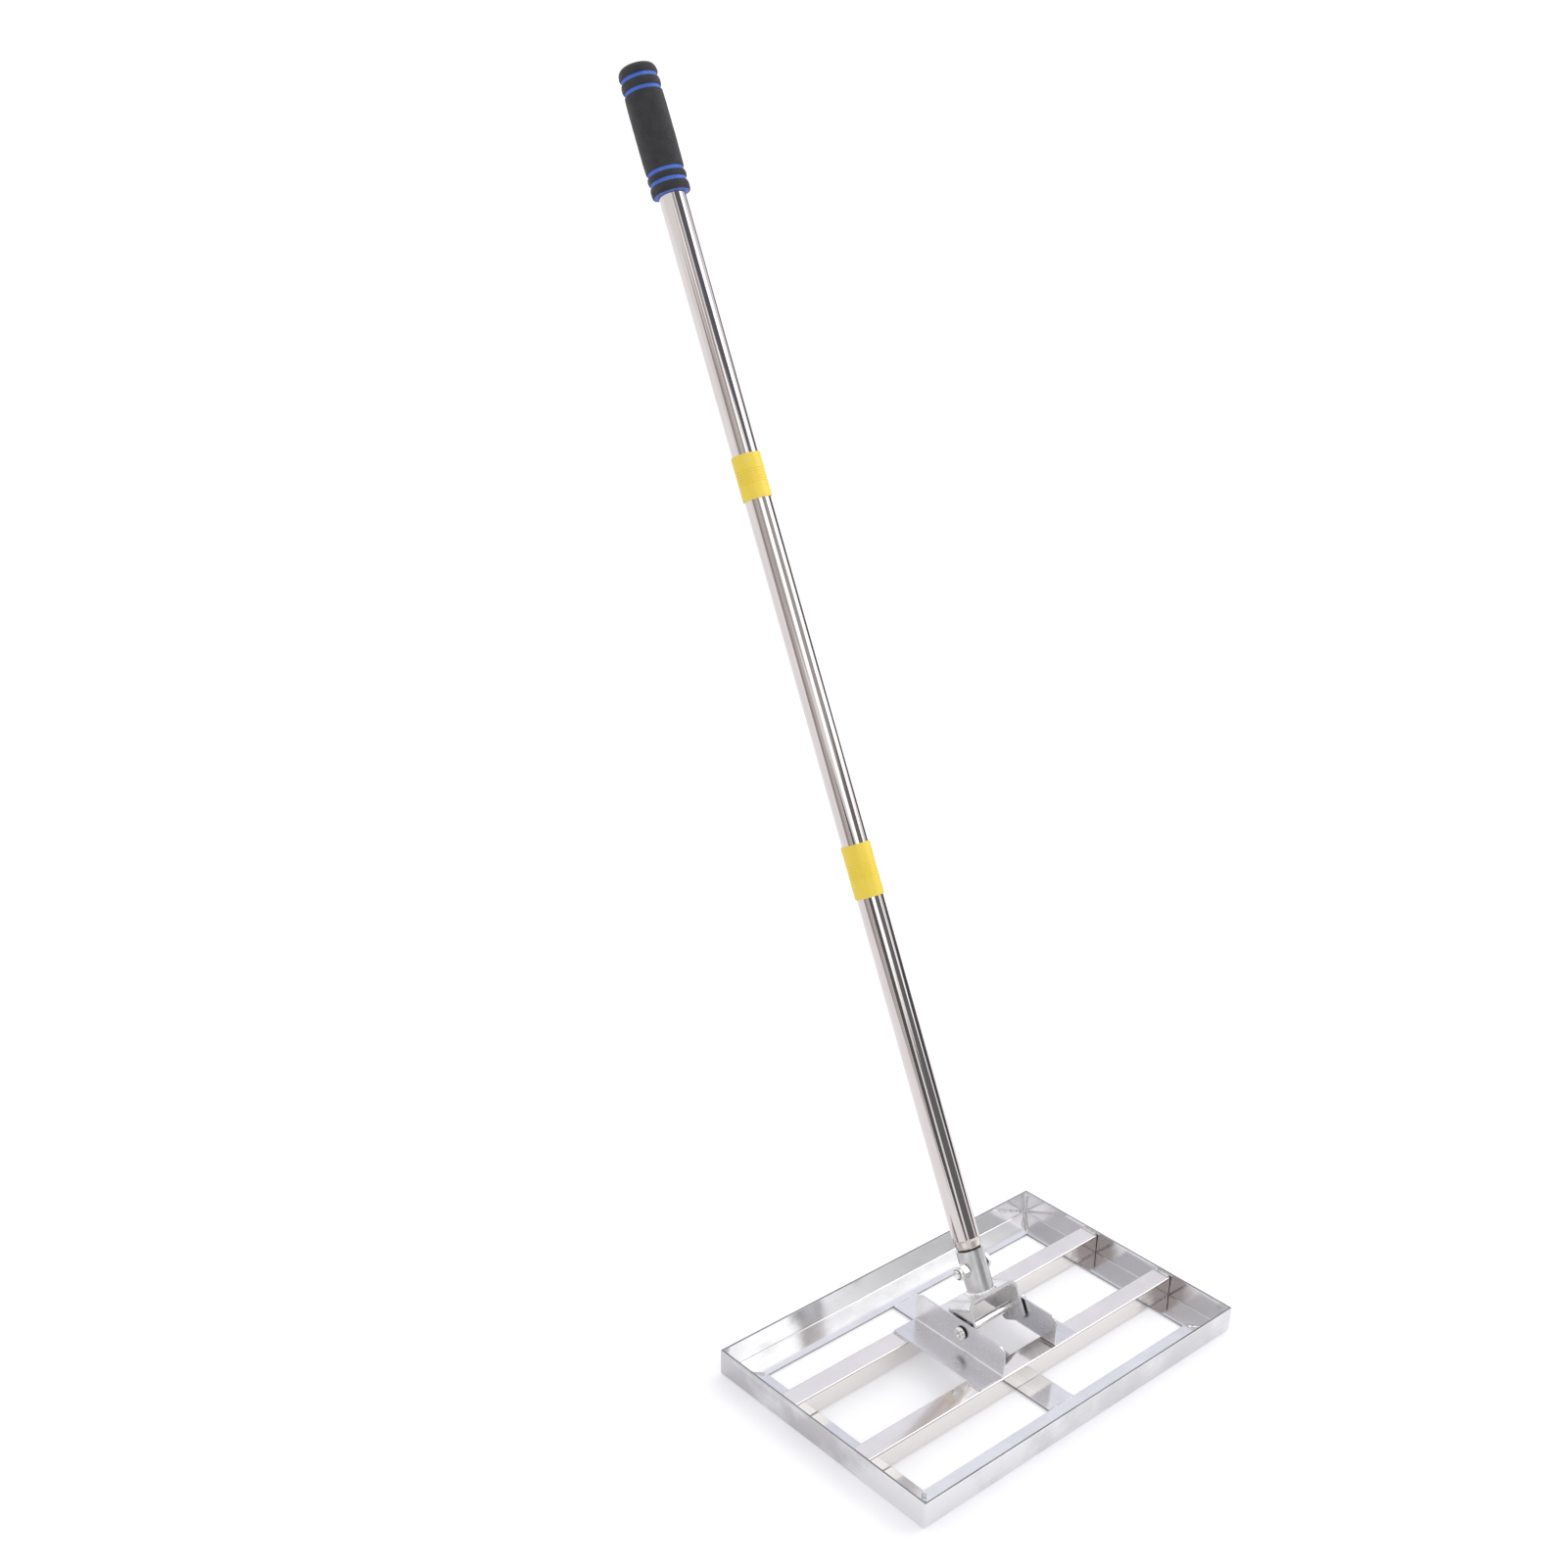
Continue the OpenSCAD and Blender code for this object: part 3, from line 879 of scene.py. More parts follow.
@dataclass(frozen=True)
class FoamFinish(Finish):
    """Closed-cell foam with a fine pitted skin."""

    light: Colour
    deep: Colour
    cell_size: float = 0.9 * MM
    cell_depth: float = 0.10 * MM
    fine_size: float = 0.35
    fine_depth: float = 0.4
    patch_size: float = 9.0 * MM
    roughness: Point = (0.72, 0.58)
    gloss: float = 0.5
    sheen: float = 0.1
    sheen_roughness: float = 0.5

    def write(self, chart: Chart, line: HandleLine) -> bpy.types.Material:
        """Writes the foam's nodes.

        Args:
            chart: Where the nodes go.
            line: The handle's frame.

        Returns:
            The material.
        """
        place = chart.on_handle(line)
        patches = chart.noise(place, (self.patch_size,) * 3, 4.0)
        fine = chart.noise(place, (self.fine_size * self.cell_size,) * 3, 2.0, seed=2.0)
        pits = (chart.cells(place, self.cell_size), self.cell_depth)
        return chart.shade(
            Base_Color=chart.tinted(patches, NOISE_RANGE, (self.deep, self.light)),
            Roughness=chart.spread(patches, NOISE_RANGE, self.roughness),
            Normal=chart.raised(pits, (fine, self.fine_depth * self.cell_depth)),
            Specular_IOR_Level=self.gloss,
            Sheen_Weight=self.sheen,
            Sheen_Roughness=self.sheen_roughness,
        )


LONG_RAIL_STEEL = MetalFinish(
    "long_rail_steel", "rail_steel", (0.83, 0.825, 0.835), (0.77, 0.765, 0.775), (0.09, 0.16),
    Grain.ALONG_HEAD
)
# Darker copy of the rail steel for the end rails: painted shade.
END_RAIL_SHADED_STEEL = MetalFinish(
    "end_rail_shaded_steel", "rail_steel", (0.755, 0.75, 0.765), (0.70, 0.695, 0.71), (0.09, 0.16), Grain.ACROSS_HEAD
)
# Outer faces of the rails: painted light, lighter near the head's front-left corner and darker away from it.
LONG_WALL_PAINTED_LIGHT = MetalFinish(
    "long_wall_painted_light", "rail_steel", (0.79, 0.785, 0.79), (0.66, 0.655, 0.665), (0.09, 0.16),
    Grain.ALONG_HEAD, painted_light_reach=(105.0 * MM, 205.0 * MM),
)
END_WALL_PAINTED_LIGHT = MetalFinish(
    "end_wall_painted_light", "rail_steel", (0.80, 0.795, 0.805), (0.565, 0.555, 0.57), (0.09, 0.16),
    Grain.ACROSS_HEAD, painted_light_reach=(66.0 * MM, 112.0 * MM),
)
STRAP_STEEL = MetalFinish(
    "strap_steel", "rail_steel", (0.80, 0.795, 0.80), (0.74, 0.735, 0.745), (0.10, 0.18), Grain.ACROSS_HEAD
)
# Dark copy of the rail steel on the sheets' free edges and the strap's sides: painted shade.
CUT_EDGE_SHADE = MetalFinish(
    "cut_edge_shade", "rail_steel", (0.32, 0.32, 0.33), (0.22, 0.22, 0.23), (0.3, 0.45), Grain.ACROSS_HEAD
)
BAR_STEEL = MetalFinish(
    "bar_steel", "bar_steel", (0.84, 0.805, 0.785), (0.79, 0.755, 0.735), (0.06, 0.12), Grain.ALONG_HEAD
)
# Front faces of the bars: weld scorch together with painted shade towards their right ends.
SCORCH_AND_SHADE_BAR = MetalFinish(
    "scorch_and_shade_bar", "bar_steel", (0.785, 0.76, 0.735), (0.36, 0.315, 0.295), (0.06, 0.12), Grain.ALONG_HEAD,
    scorch_and_shade_reach=(152.0 * MM, 194.0 * MM),
)
LUG_STEEL = MetalFinish(
    "lug_steel", "lug_steel", (0.78, 0.77, 0.79), (0.72, 0.71, 0.73), (0.22, 0.32), Grain.ACROSS_HEAD
)
SADDLE_STEEL = MetalFinish(
    "saddle_steel", "saddle_steel", (0.80, 0.795, 0.805), (0.70, 0.695, 0.705), (0.24, 0.34), Grain.UP_HANDLE,
    line_length=40.0 * MM, cloud_size=14.0 * MM,
)
SOCKET_STEEL = MetalFinish(
    "socket_steel", "socket_steel", (0.74, 0.735, 0.74), (0.63, 0.625, 0.63), (0.28, 0.40), Grain.UP_HANDLE,
    line_length=60.0 * MM, line_depth=0.006 * MM, cloud_size=10.0 * MM,
)
FASTENER_STEEL = MetalFinish(
    "fastener_steel", "fastener_steel", (0.88, 0.88, 0.87), (0.76, 0.76, 0.75), (0.05, 0.12),
    Grain.ALONG_HEAD, cloud_size=6.0 * MM, wave_size=12.0 * MM, wave_depth=0.004 * MM,
)
SHADED_STEEL = MetalFinish(
    "shaded_steel", "fastener_steel", (0.05, 0.05, 0.052), (0.025, 0.025, 0.027), (0.4, 0.55),
    Grain.ALONG_HEAD
)
WELD_METAL = MetalFinish(
    "weld_metal", "weld_metal", (0.80, 0.79, 0.785), (0.58, 0.565, 0.55), (0.14, 0.3), Grain.ALONG_HEAD,
    line_width=2.0 * MM, line_length=2.0 * MM, cloud_size=4.0 * MM, speck_depth=0.06 * MM,
)
# Lighter copy of the weld metal on the corner uprights and the socket's bead: painted highlight.
PAINTED_HIGHLIGHT_WELD = MetalFinish(
    "painted_highlight_weld", "weld_metal", (0.96, 0.955, 0.96), (0.90, 0.895, 0.90), (0.12, 0.22), Grain.ALONG_HEAD,
    cloud_size=6.0 * MM,
)
TUBE_STEEL = MetalFinish(
    "tube_steel", "tube_steel", (0.67, 0.625, 0.615), (0.635, 0.59, 0.58), (0.05, 0.10), Grain.UP_HANDLE,
    line_width=1.1 * MM, line_length=300.0 * MM, line_depth=0.0016 * MM, cloud_size=60.0 * MM,
)
ROLLED_STEEL = MetalFinish(
    "rolled_tube_end", "tube_steel", (0.78, 0.73, 0.66), (0.58, 0.53, 0.47), (0.2, 0.38), Grain.UP_HANDLE,
    line_length=8.0 * MM, cloud_size=5.0 * MM, speck_depth=0.02 * MM,
)
# Near-black spigot, seen only in the narrow gap at the socket's top: painted shade.
SHADED_SPIGOT_METAL = MetalFinish(
    "spigot_metal", "spigot_metal", (0.09, 0.09, 0.095), (0.05, 0.05, 0.055), (0.3, 0.45), Grain.UP_HANDLE
)
JOINT_PLASTIC = PlasticFinish(
    "joint_plastic", "joint_plastic", (0.016, 0.016, 0.017), (0.010, 0.010, 0.011), (0.4, 0.52)
)
SLEEVE_PLASTIC = PlasticFinish(
    "sleeve_plastic", "sleeve_plastic", (0.93, 0.71, 0.08), (0.88, 0.66, 0.065), (0.3, 0.42)
)
CORE_FOAM = FoamFinish("core_foam", "grip_inner_foam", (0.075, 0.18, 0.68), (0.05, 0.13, 0.56))
COVER_FOAM = FoamFinish("cover_foam", "grip_outer_foam", (0.022, 0.022, 0.025), (0.015, 0.015, 0.017))


@dataclass
class Piece:
    """One finished shape, what it wears and the solids that it stands for."""

    name: str
    mesh: Mesh
    finishes: tuple[Finish, ...]
    nodes: tuple[str, ...]
    fill: Optional[float] = None


@dataclass
class SubAssembly:
    """A group of pieces on one body; those of the handle are built upright on its axis."""

    line: HandleLine
    body: str = HEAD

    def build(self) -> list[Piece]:
        """Makes the group's pieces."""
        raise NotImplementedError

    def dress(self) -> None:
        """Puts every piece into the scene with its finishes and body."""
        for piece in self.build():
            if self.body == HANDLE:
                placed(piece.mesh, self.line.matrix)
            data = stored(piece.mesh, piece.name)
            data.shade_smooth()
            data.set_sharp_from_angle(angle=SHARP_ANGLE)
            thing = shown(piece.name, data)
            flats = thing.modifiers.new("flat_faces", "WEIGHTED_NORMAL")
            flats.keep_sharp = True
            flats.weight = NORMAL_WEIGHT
            for finish in piece.finishes:
                data.materials.append(finish.material(self.line))
            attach(thing, self.body)
            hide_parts(*piece.nodes)
            log.info("%s: %d faces on %s", piece.name, len(data.polygons), self.body)


@dataclass
class HeadRails(SubAssembly):
    """Four mitred angle rails, the strap across the middle and their welds."""

    wall: float = 2.0 * MM
    fold_outside: float = 1.0 * MM
    fold_inside: float = 0.9 * MM
    sheet_edge: float = 0.3 * MM
    splay: float = 0.45 * MM
    corner_bead: float = 1.5 * MM
    corner_shift: float = 0.3
    corner_ripples: int = 6
    seam_bead: float = 2.1 * MM
    strap_bead: float = 0.7 * MM
    seam_flatness: float = 0.42
    seam_ripples: int = 7

    def rail(self, node: str, turn: float) -> Mesh:
        """Makes one rail.

        Args:
            node: The solid that it stands for.
            turn: Turn about Z from the front rail's place.

        Returns:
            The mitred rail in its place; its cut edges wear the second finish, a painted shade, and its outer
            face the third, with painted light.
        """
        low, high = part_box(node)
        size = high - low
        spin = Matrix.Rotation(turn, 4, "Z")
        facing = spin @ Vector((0.0, -1.0, 0.0))
        length = max(size.x, size.y)
        back = -max(facing.dot(low), facing.dot(high))
        tip = back + min(size.x, size.y)
        inside = back + self.wall
        outline = [
            (back, low.z), (tip, low.z), (tip, low.z + self.wall),
            (inside, low.z + self.wall), (inside - self.splay, high.z), (back - self.splay, high.z),
        ]
        roundings = [(outline[0], self.fold_outside, 4), (outline[3], self.fold_inside, 4)]
        roundings += [(outline[corner], self.sheet_edge, 2) for corner in (1, 2, 4, 5)]
        mesh = prism(outline, length + 2.0 * self.splay)
        for (y, z), radius, segments in roundings:
            rounded(mesh, edges_at(mesh, y=y, z=z), radius, segments)
        for side in SIDES:
            cut_off(mesh, Vector((side * length / 2, back, 0.0)), Vector((side, 1.0, 0.0)))

        def finish(face: Face) -> int:
            """Tells which finish a face of the rail wears.

            Args:
                face: The face.

            Returns:
                The finish's number.
            """
            place = face.calc_center_median()
            # Free edges of the sheet wear the painted shade; the outer face wears the painted light of the
            # wall finish.
            cut = min(abs(place.y - tip), abs(place.z - high.z)) < MERGE_DISTANCE
            return 1 if cut else 2 * (face.normal.y < -FLAT_SHARE)

        return placed(painted(mesh, finish), spin)

    def seam(self, length: float, radius: float, seed: float, place: Matrix) -> Mesh:
        """Lays a low bead along X of a place.

        Args:
            length: Length of the bead.
            radius: Half of its width.
            seed: Place in the noise that makes it uneven.
            place: Where it starts.

        Returns:
            The bead.
        """
        flat = Matrix.Diagonal((1.0, 1.0, self.seam_flatness, 1.0))
        return placed(bead(length, radius, self.seam_ripples, seed), place @ flat @ LAY_ALONG_X)

    def corner_welds(self) -> Mesh:
        """Makes the beads up the inside corners and along the mitres.

        Returns:
            The beads; those along the mitres wear the second finish.
        """
        low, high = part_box("corner_welds")
        rail_low, rail_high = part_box("front_rail")
        run = (rail_high.y - rail_low.y - self.wall - 2.0 * self.seam_bead) * math.sqrt(2.0)
        meshes = []
        for index, (x, y) in enumerate(((-1, -1), (1, -1), (1, 1), (-1, 1))):
            corner = Vector((x * high.x, y * high.y, low.z))
            inward = Vector((-x, -y, 0.0))
            upright = bead(high.z - low.z, self.corner_bead, self.corner_ripples, seed=3.1 * index)
            foot = corner + self.corner_shift * self.corner_bead * inward
            meshes.append(placed(upright, Matrix.Translation(foot)))
            aim = Matrix.Rotation(math.atan2(inward.y, inward.x), 4, "Z")
            start = Matrix.Translation(corner + self.seam_bead * inward) @ aim
            seam = self.seam(run, self.seam_bead, seed=1.7 + 2.3 * index, place=start)
            meshes.append(painted(seam, lambda face: 1))
        return gathered(meshes)

    def strap_welds(self) -> Mesh:
        """Makes the beads across the strap's two ends.

        Returns:
            The beads.
        """
        low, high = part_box("strap_welds")
        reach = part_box("center_strap")[1].y
        meshes = []
        for index, side in enumerate(SIDES):
            start = Matrix.Translation((low.x, side * reach, low.z))
            meshes.append(self.seam(high.x - low.x, self.strap_bead, seed=5.0 + 4.0 * index, place=start))
        return gathered(meshes)

    def build(self) -> list[Piece]:
        """Makes the rails, the strap and their beads.

        Returns:
            The pieces.
        """
        long = (LONG_RAIL_STEEL, CUT_EDGE_SHADE, LONG_WALL_PAINTED_LIGHT)
        end = (END_RAIL_SHADED_STEEL, CUT_EDGE_SHADE, END_WALL_PAINTED_LIGHT)
        turns = {"front": 0.0, "rear": 2 * QUARTER, "left": -QUARTER, "right": QUARTER}
        pieces = []
        for side, turn in turns.items():
            node = f"{side}_rail"
            finishes = end if side in ("left", "right") else long
            pieces.append(Piece(f"rail_{side}", self.rail(node, turn), finishes, (node,)))
        strap = softened(block(*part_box("center_strap")), self.sheet_edge)
        # The strap's sides wear the second finish, a painted shade.
        painted(strap, lambda face: abs(face.normal.x) > FLAT_SHARE)
        return pieces + [
            Piece("strap_middle", strap, (STRAP_STEEL, CUT_EDGE_SHADE), ("center_strap",)),
            Piece("beads_corner", self.corner_welds(), (PAINTED_HIGHLIGHT_WELD, WELD_METAL), ("corner_welds",)),
            Piece("beads_strap", self.strap_welds(), (WELD_METAL,), ("strap_welds",)),
        ]


@dataclass
class CrossBars(SubAssembly):
    """Two square tubes between the end rails, and the welds at their ends."""

    wall: float = 1.5 * MM
    corner: float = 1.5 * MM
    rim: float = 0.25 * MM
    bead_radius: float = 1.5 * MM
    bead_sink: float = 0.25
    bead_ripples: int = 5

    def bar(self, node: str) -> Mesh:
        """Makes one square tube.

        Args:
            node: The solid that it stands for.

        Returns:
            The tube in its place; its front face wears the second finish, with scorch and painted shade
            towards its right end.
        """
        low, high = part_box(node)
        mesh = block(low, high)
        long_edges = [
            edge for edge in mesh.edges if abs(edge.verts[0].co.x - edge.verts[1].co.x) > MERGE_DISTANCE
        ]
        rounded(mesh, long_edges, self.corner, 4)
        ends = [face for face in mesh.faces if abs(face.normal.x) > FLAT_SHARE]
        bmesh.ops.delete(mesh, geom=ends, context="FACES_ONLY")
        bmesh.ops.solidify(mesh, geom=mesh.faces[:], thickness=self.wall)
        bmesh.ops.recalc_face_normals(mesh, faces=mesh.faces)
        rims = [edge for x in (low.x, high.x) for edge in edges_at(mesh, x=x) if is_sharp(edge)]
        return painted(rounded(mesh, rims, self.rim, 1), lambda face: face.normal.y < -FLAT_SHARE)

    def welds(self) -> Mesh:
        """Makes the beads along the top and up the rear of the bars' ends.

        Returns:
            The beads.
        """
        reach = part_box("bar_welds")[1].x - self.bead_sink * self.bead_radius
        meshes = []
        for index, node in enumerate(("rear_bar", "front_bar")):
            low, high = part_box(node)
            for side in SIDES:
                seed = 2.0 * index + side
                top = Matrix.Translation((side * reach, low.y + self.corner, high.z)) @ LAY_ALONG_Y
                rear = Matrix.Translation((side * reach, high.y, low.z + self.corner))
                runs = ((high.y - low.y, seed, top), (high.z - low.z, seed + 9.0, rear))
                for run, start, place in runs:
                    seam = bead(run - 2.0 * self.corner, self.bead_radius, self.bead_ripples, start)
                    meshes.append(placed(seam, place))
        return gathered(meshes)

    def build(self) -> list[Piece]:
        """Makes the two bars and their beads."""
        finishes = (BAR_STEEL, SCORCH_AND_SHADE_BAR)
        return [
            Piece("bar_rear", self.bar("rear_bar"), finishes, ("rear_bar",)),
            Piece("bar_front", self.bar("front_bar"), finishes, ("front_bar",)),
            Piece("beads_bar", self.welds(), (WELD_METAL,), ("bar_welds",)),
        ]


@dataclass
class PivotLugs(SubAssembly):
    """Two folded lugs on the bars, and the welds along their feet."""

    thickness: float = 2.0 * MM
    fold: float = 3.5 * MM
    ear_corner: float = 8.0 * MM
    foot_corner: float = 1.0 * MM
    sheet_edge: float = 0.25 * MM
    hole: float = 4.2 * MM
    bead_radius: float = 0.5 * MM
    bead_rise: float = 0.2
    bead_ripples: int = 6

    def lug(self, node: str, side: float) -> Mesh:
        """Makes one lug.

        Args:
            node: The solid that it stands for.
            side: -1 for the lug on the left, 1 for the one on the right.

        Returns:
            The folded and drilled lug.
        """
        low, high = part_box(node)
        ear, tip = (low.x, high.x) if side > 0 else (high.x, low.x)
        path = [Vector((tip, low.y, low.z)), Vector((ear, low.y, low.z)), Vector((ear, low.y, high.z))]
        mesh = folded_sheet(path, Vector((0.0, high.y - low.y, 0.0)), Vector((0.0, 0.0, -1.0)))
        rounded(mesh, corners_at(mesh, z=high.z), self.ear_corner, 10, Rounding.CORNERS)
        rounded(mesh, corners_at(mesh, x=tip), self.foot_corner, 3, Rounding.CORNERS)
        rounded(mesh, edges_at(mesh, x=ear, z=low.z), self.fold, 6)
        thickened(mesh, self.thickness)
        middle = ear + side * self.thickness / 2
        drill = placed(rod(self.hole, middle - self.thickness, middle + self.thickness), self.line.axle)
        return softened(combined(mesh, drill, Combine.CUT), self.sheet_edge)

    def welds(self) -> Mesh:
        """Makes the beads along the feet where they lie on the bars.

        Returns:
            The beads.
        """
        low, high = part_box("lug_welds")
        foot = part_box("right_lug")[1].x
        runs = ((low.y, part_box("front_bar")[1].y), (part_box("rear_bar")[0].y, high.y))
        radius = self.bead_radius
        height = low.z + self.bead_rise * radius
        meshes = []
        for index, (start, end) in enumerate(runs):
            for side in SIDES:
                seam = bead(end - start - radius, radius, self.bead_ripples, seed=6.0 * index + side)
                spot = Vector((side * foot, start + radius / 2, height))
                meshes.append(placed(seam, Matrix.Translation(spot) @ LAY_ALONG_Y))
        return gathered(meshes)

    def build(self) -> list[Piece]:
        """Makes the two lugs and their beads."""
        return [
            Piece("lug_left", self.lug("left_lug", -1.0), (LUG_STEEL,), ("left_lug",)),
            Piece("lug_right", self.lug("right_lug", 1.0), (LUG_STEEL,), ("right_lug",)),
            Piece("beads_lug", self.welds(), (WELD_METAL,), ("lug_welds",)),
        ]


@dataclass
class LockNut:
    """A hexagon nut with a round collar."""

    across: float
    height: float
    bore: float
    hex_share: float = 0.72
    collar_share: float = 0.44
    lip: float = 0.9 * MM
    edge: float = 0.2 * MM

    def build(self) -> Mesh:
        """Makes the nut along Z, its seat on the origin.

        Returns:
            The nut; its end ring wears the second finish.
        """
        hexagon = hex_block(self.across, self.hex_share * self.height, self.edge)
        radius = self.collar_share * self.across
        shoulder = self.height - self.lip
        outline = [(0.0, OVERRUN), (radius, OVERRUN), (radius, shoulder)]
        outline += arc((radius - self.lip, shoulder), self.lip, 0.0, 90.0, 5)[1:]
        outline.append((0.0, self.height))
        whole = combined(hexagon, turned(outline, steps=48), Combine.JOIN)
        mesh = combined(whole, rod(self.bore, -OVERRUN, self.height + OVERRUN), Combine.CUT)
        return painted(mesh, lambda face: face.calc_center_median().z > self.height - MERGE_DISTANCE)


@dataclass
class PivotBolt(SubAssembly):
    """The bolt through both lugs, with its washers and lock nut."""

    shank: float = 4.0 * MM
    head_height: float = 4.4 * MM
    head_radius: float = 6.2 * MM
    head_edge: float = 0.3 * MM
    crown: float = 2.6 * MM
    crown_sweep: float = -80.0
    shaded_wall: float = 1.8 * MM
    recess_length: float = 7.0 * MM
    recess_width: float = 1.7 * MM
    recess_depth: float = 2.2 * MM
    recess_taper: Triple = (0.45, 0.75, 1.0)
    recess_turn: float = math.radians(20)
    pitch: float = 1.25 * MM
    nut_across: float = 13.0 * MM
    nut_height: float = 8.0 * MM
    washer_outer: float = 8.0 * MM
    washer_inner: float = 4.2 * MM
    washer_thickness: float = 1.6 * MM
    washer_edge: float = 0.25 * MM

    def recess(self, face: float, turn: float) -> Mesh:
        """Makes the tool for one slot of the cross recess.

        Args:
            face: Place of the head's face along the bolt.
            turn: Turn of the slot about the bolt.

        Returns:
            The tapered block to cut out.
        """
        half = Vector((self.recess_length / 2, self.recess_width / 2, 0.0))
        slot = block(
            Vector((-half.x, -half.y, face - OVERRUN)), Vector((half.x, half.y, face + self.recess_depth))
        )
        deep = [point for point in slot.verts if point.co.z > face]
        bmesh.ops.scale(slot, vec=self.recess_taper, verts=deep)
        return placed(slot, Matrix.Rotation(turn + self.recess_turn, 4, "Z"))

    def bolt(self) -> Mesh:
        """Makes the bolt, its crossed pan head on the left.

        Returns:
            The bolt; the foot of its head wears the second finish.
        """
        low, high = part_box("pivot_bolt")
        seat = low.x + self.head_height
        rim = self.head_radius
        outline = [(0.0, seat), (rim - self.head_edge, seat), (rim, seat - self.head_edge)]
        outline += arc((rim - self.crown, low.x + self.crown), self.crown, 0.0, self.crown_sweep, 8)
        outline.append((0.0, low.x))
        head = turned(outline, steps=64)
        painted(head, lambda face: face.calc_center_median().z > seat - self.shaded_wall)
        for turn in (0.0, QUARTER):
            head = combined(head, self.recess(low.x, turn), Combine.CUT)
        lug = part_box("right_lug")[0].x
        shaft = placed(threaded_rod(self.shank, -high.x, -lug, -seat + OVERRUN, self.pitch), UPSIDE_DOWN)
        return placed(gathered([head, shaft]), self.line.axle)

    def washers(self) -> Mesh:
        """Makes the two washers beside the saddle and the one under the nut.

        Returns:
            The washers.
        """
        thickness = self.washer_thickness
        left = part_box("left_lug")[1].x
        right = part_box("right_lug")[0].x - thickness
        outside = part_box("pivot_nut")[0].x - thickness
        rings = [
            pipe(self.washer_outer, self.washer_inner, start, start + thickness, self.washer_edge)
            for start in (left, right, outside)
        ]
        return gathered([placed(ring, self.line.axle) for ring in rings])

    def build(self) -> list[Piece]:
        """Makes the bolt, its washers and its nut.

        Returns:
            The pieces.
        """
        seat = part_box("pivot_nut")[0].x
        nut = LockNut(self.nut_across, self.nut_height, self.shank).build()
        placed(nut, self.line.axle @ Matrix.Translation((0.0, 0.0, seat)))
        return [
            Piece("bolt_pivot", self.bolt(), (FASTENER_STEEL, SHADED_STEEL), ("pivot_bolt",)),
            Piece("washers_pivot", self.washers(), (FASTENER_STEEL,), ("pivot_washers",)),
            Piece("nut_pivot", nut, (FASTENER_STEEL, SHADED_STEEL), ("pivot_nut",)),
        ]


@dataclass
class Saddle(SubAssembly):
    """The bent strap that tilts on the pivot bolt."""

    body: str = HANDLE
    thickness: float = 3.0 * MM
    bend: float = 9.0 * MM
    depth: float = 28.0 * MM
    foot_corner: float = 5.0 * MM
    sheet_edge: float = 0.4 * MM
    hole: float = 4.05 * MM

    def build(self) -> list[Piece]:
        """Makes the saddle.

        Returns:
            Its one piece.
        """
        low, high = self.line.span("saddle")
        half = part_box("saddle")[1].x
        front = -self.depth / 2
        path = [Vector((x, front, z)) for x, z in ((-half, low), (-half, high), (half, high), (half, low))]
        mesh = folded_sheet(path, Vector((0.0, self.depth, 0.0)), Vector((0.0, 0.0, 1.0)))
        rounded(mesh, corners_at(mesh, z=low), self.foot_corner, 8, Rounding.CORNERS)
        bends = edges_at(mesh, x=-half, z=high) + edges_at(mesh, x=half, z=high)
        rounded(mesh, bends, self.bend, 10)
        thickened(mesh, self.thickness)
        drill = placed(rod(self.hole, -half - OVERRUN, half + OVERRUN), LAY_ALONG_X)
        mesh = softened(combined(mesh, drill, Combine.CUT), self.sheet_edge)
        return [Piece("saddle_bent", mesh, (SADDLE_STEEL,), ("saddle",))]


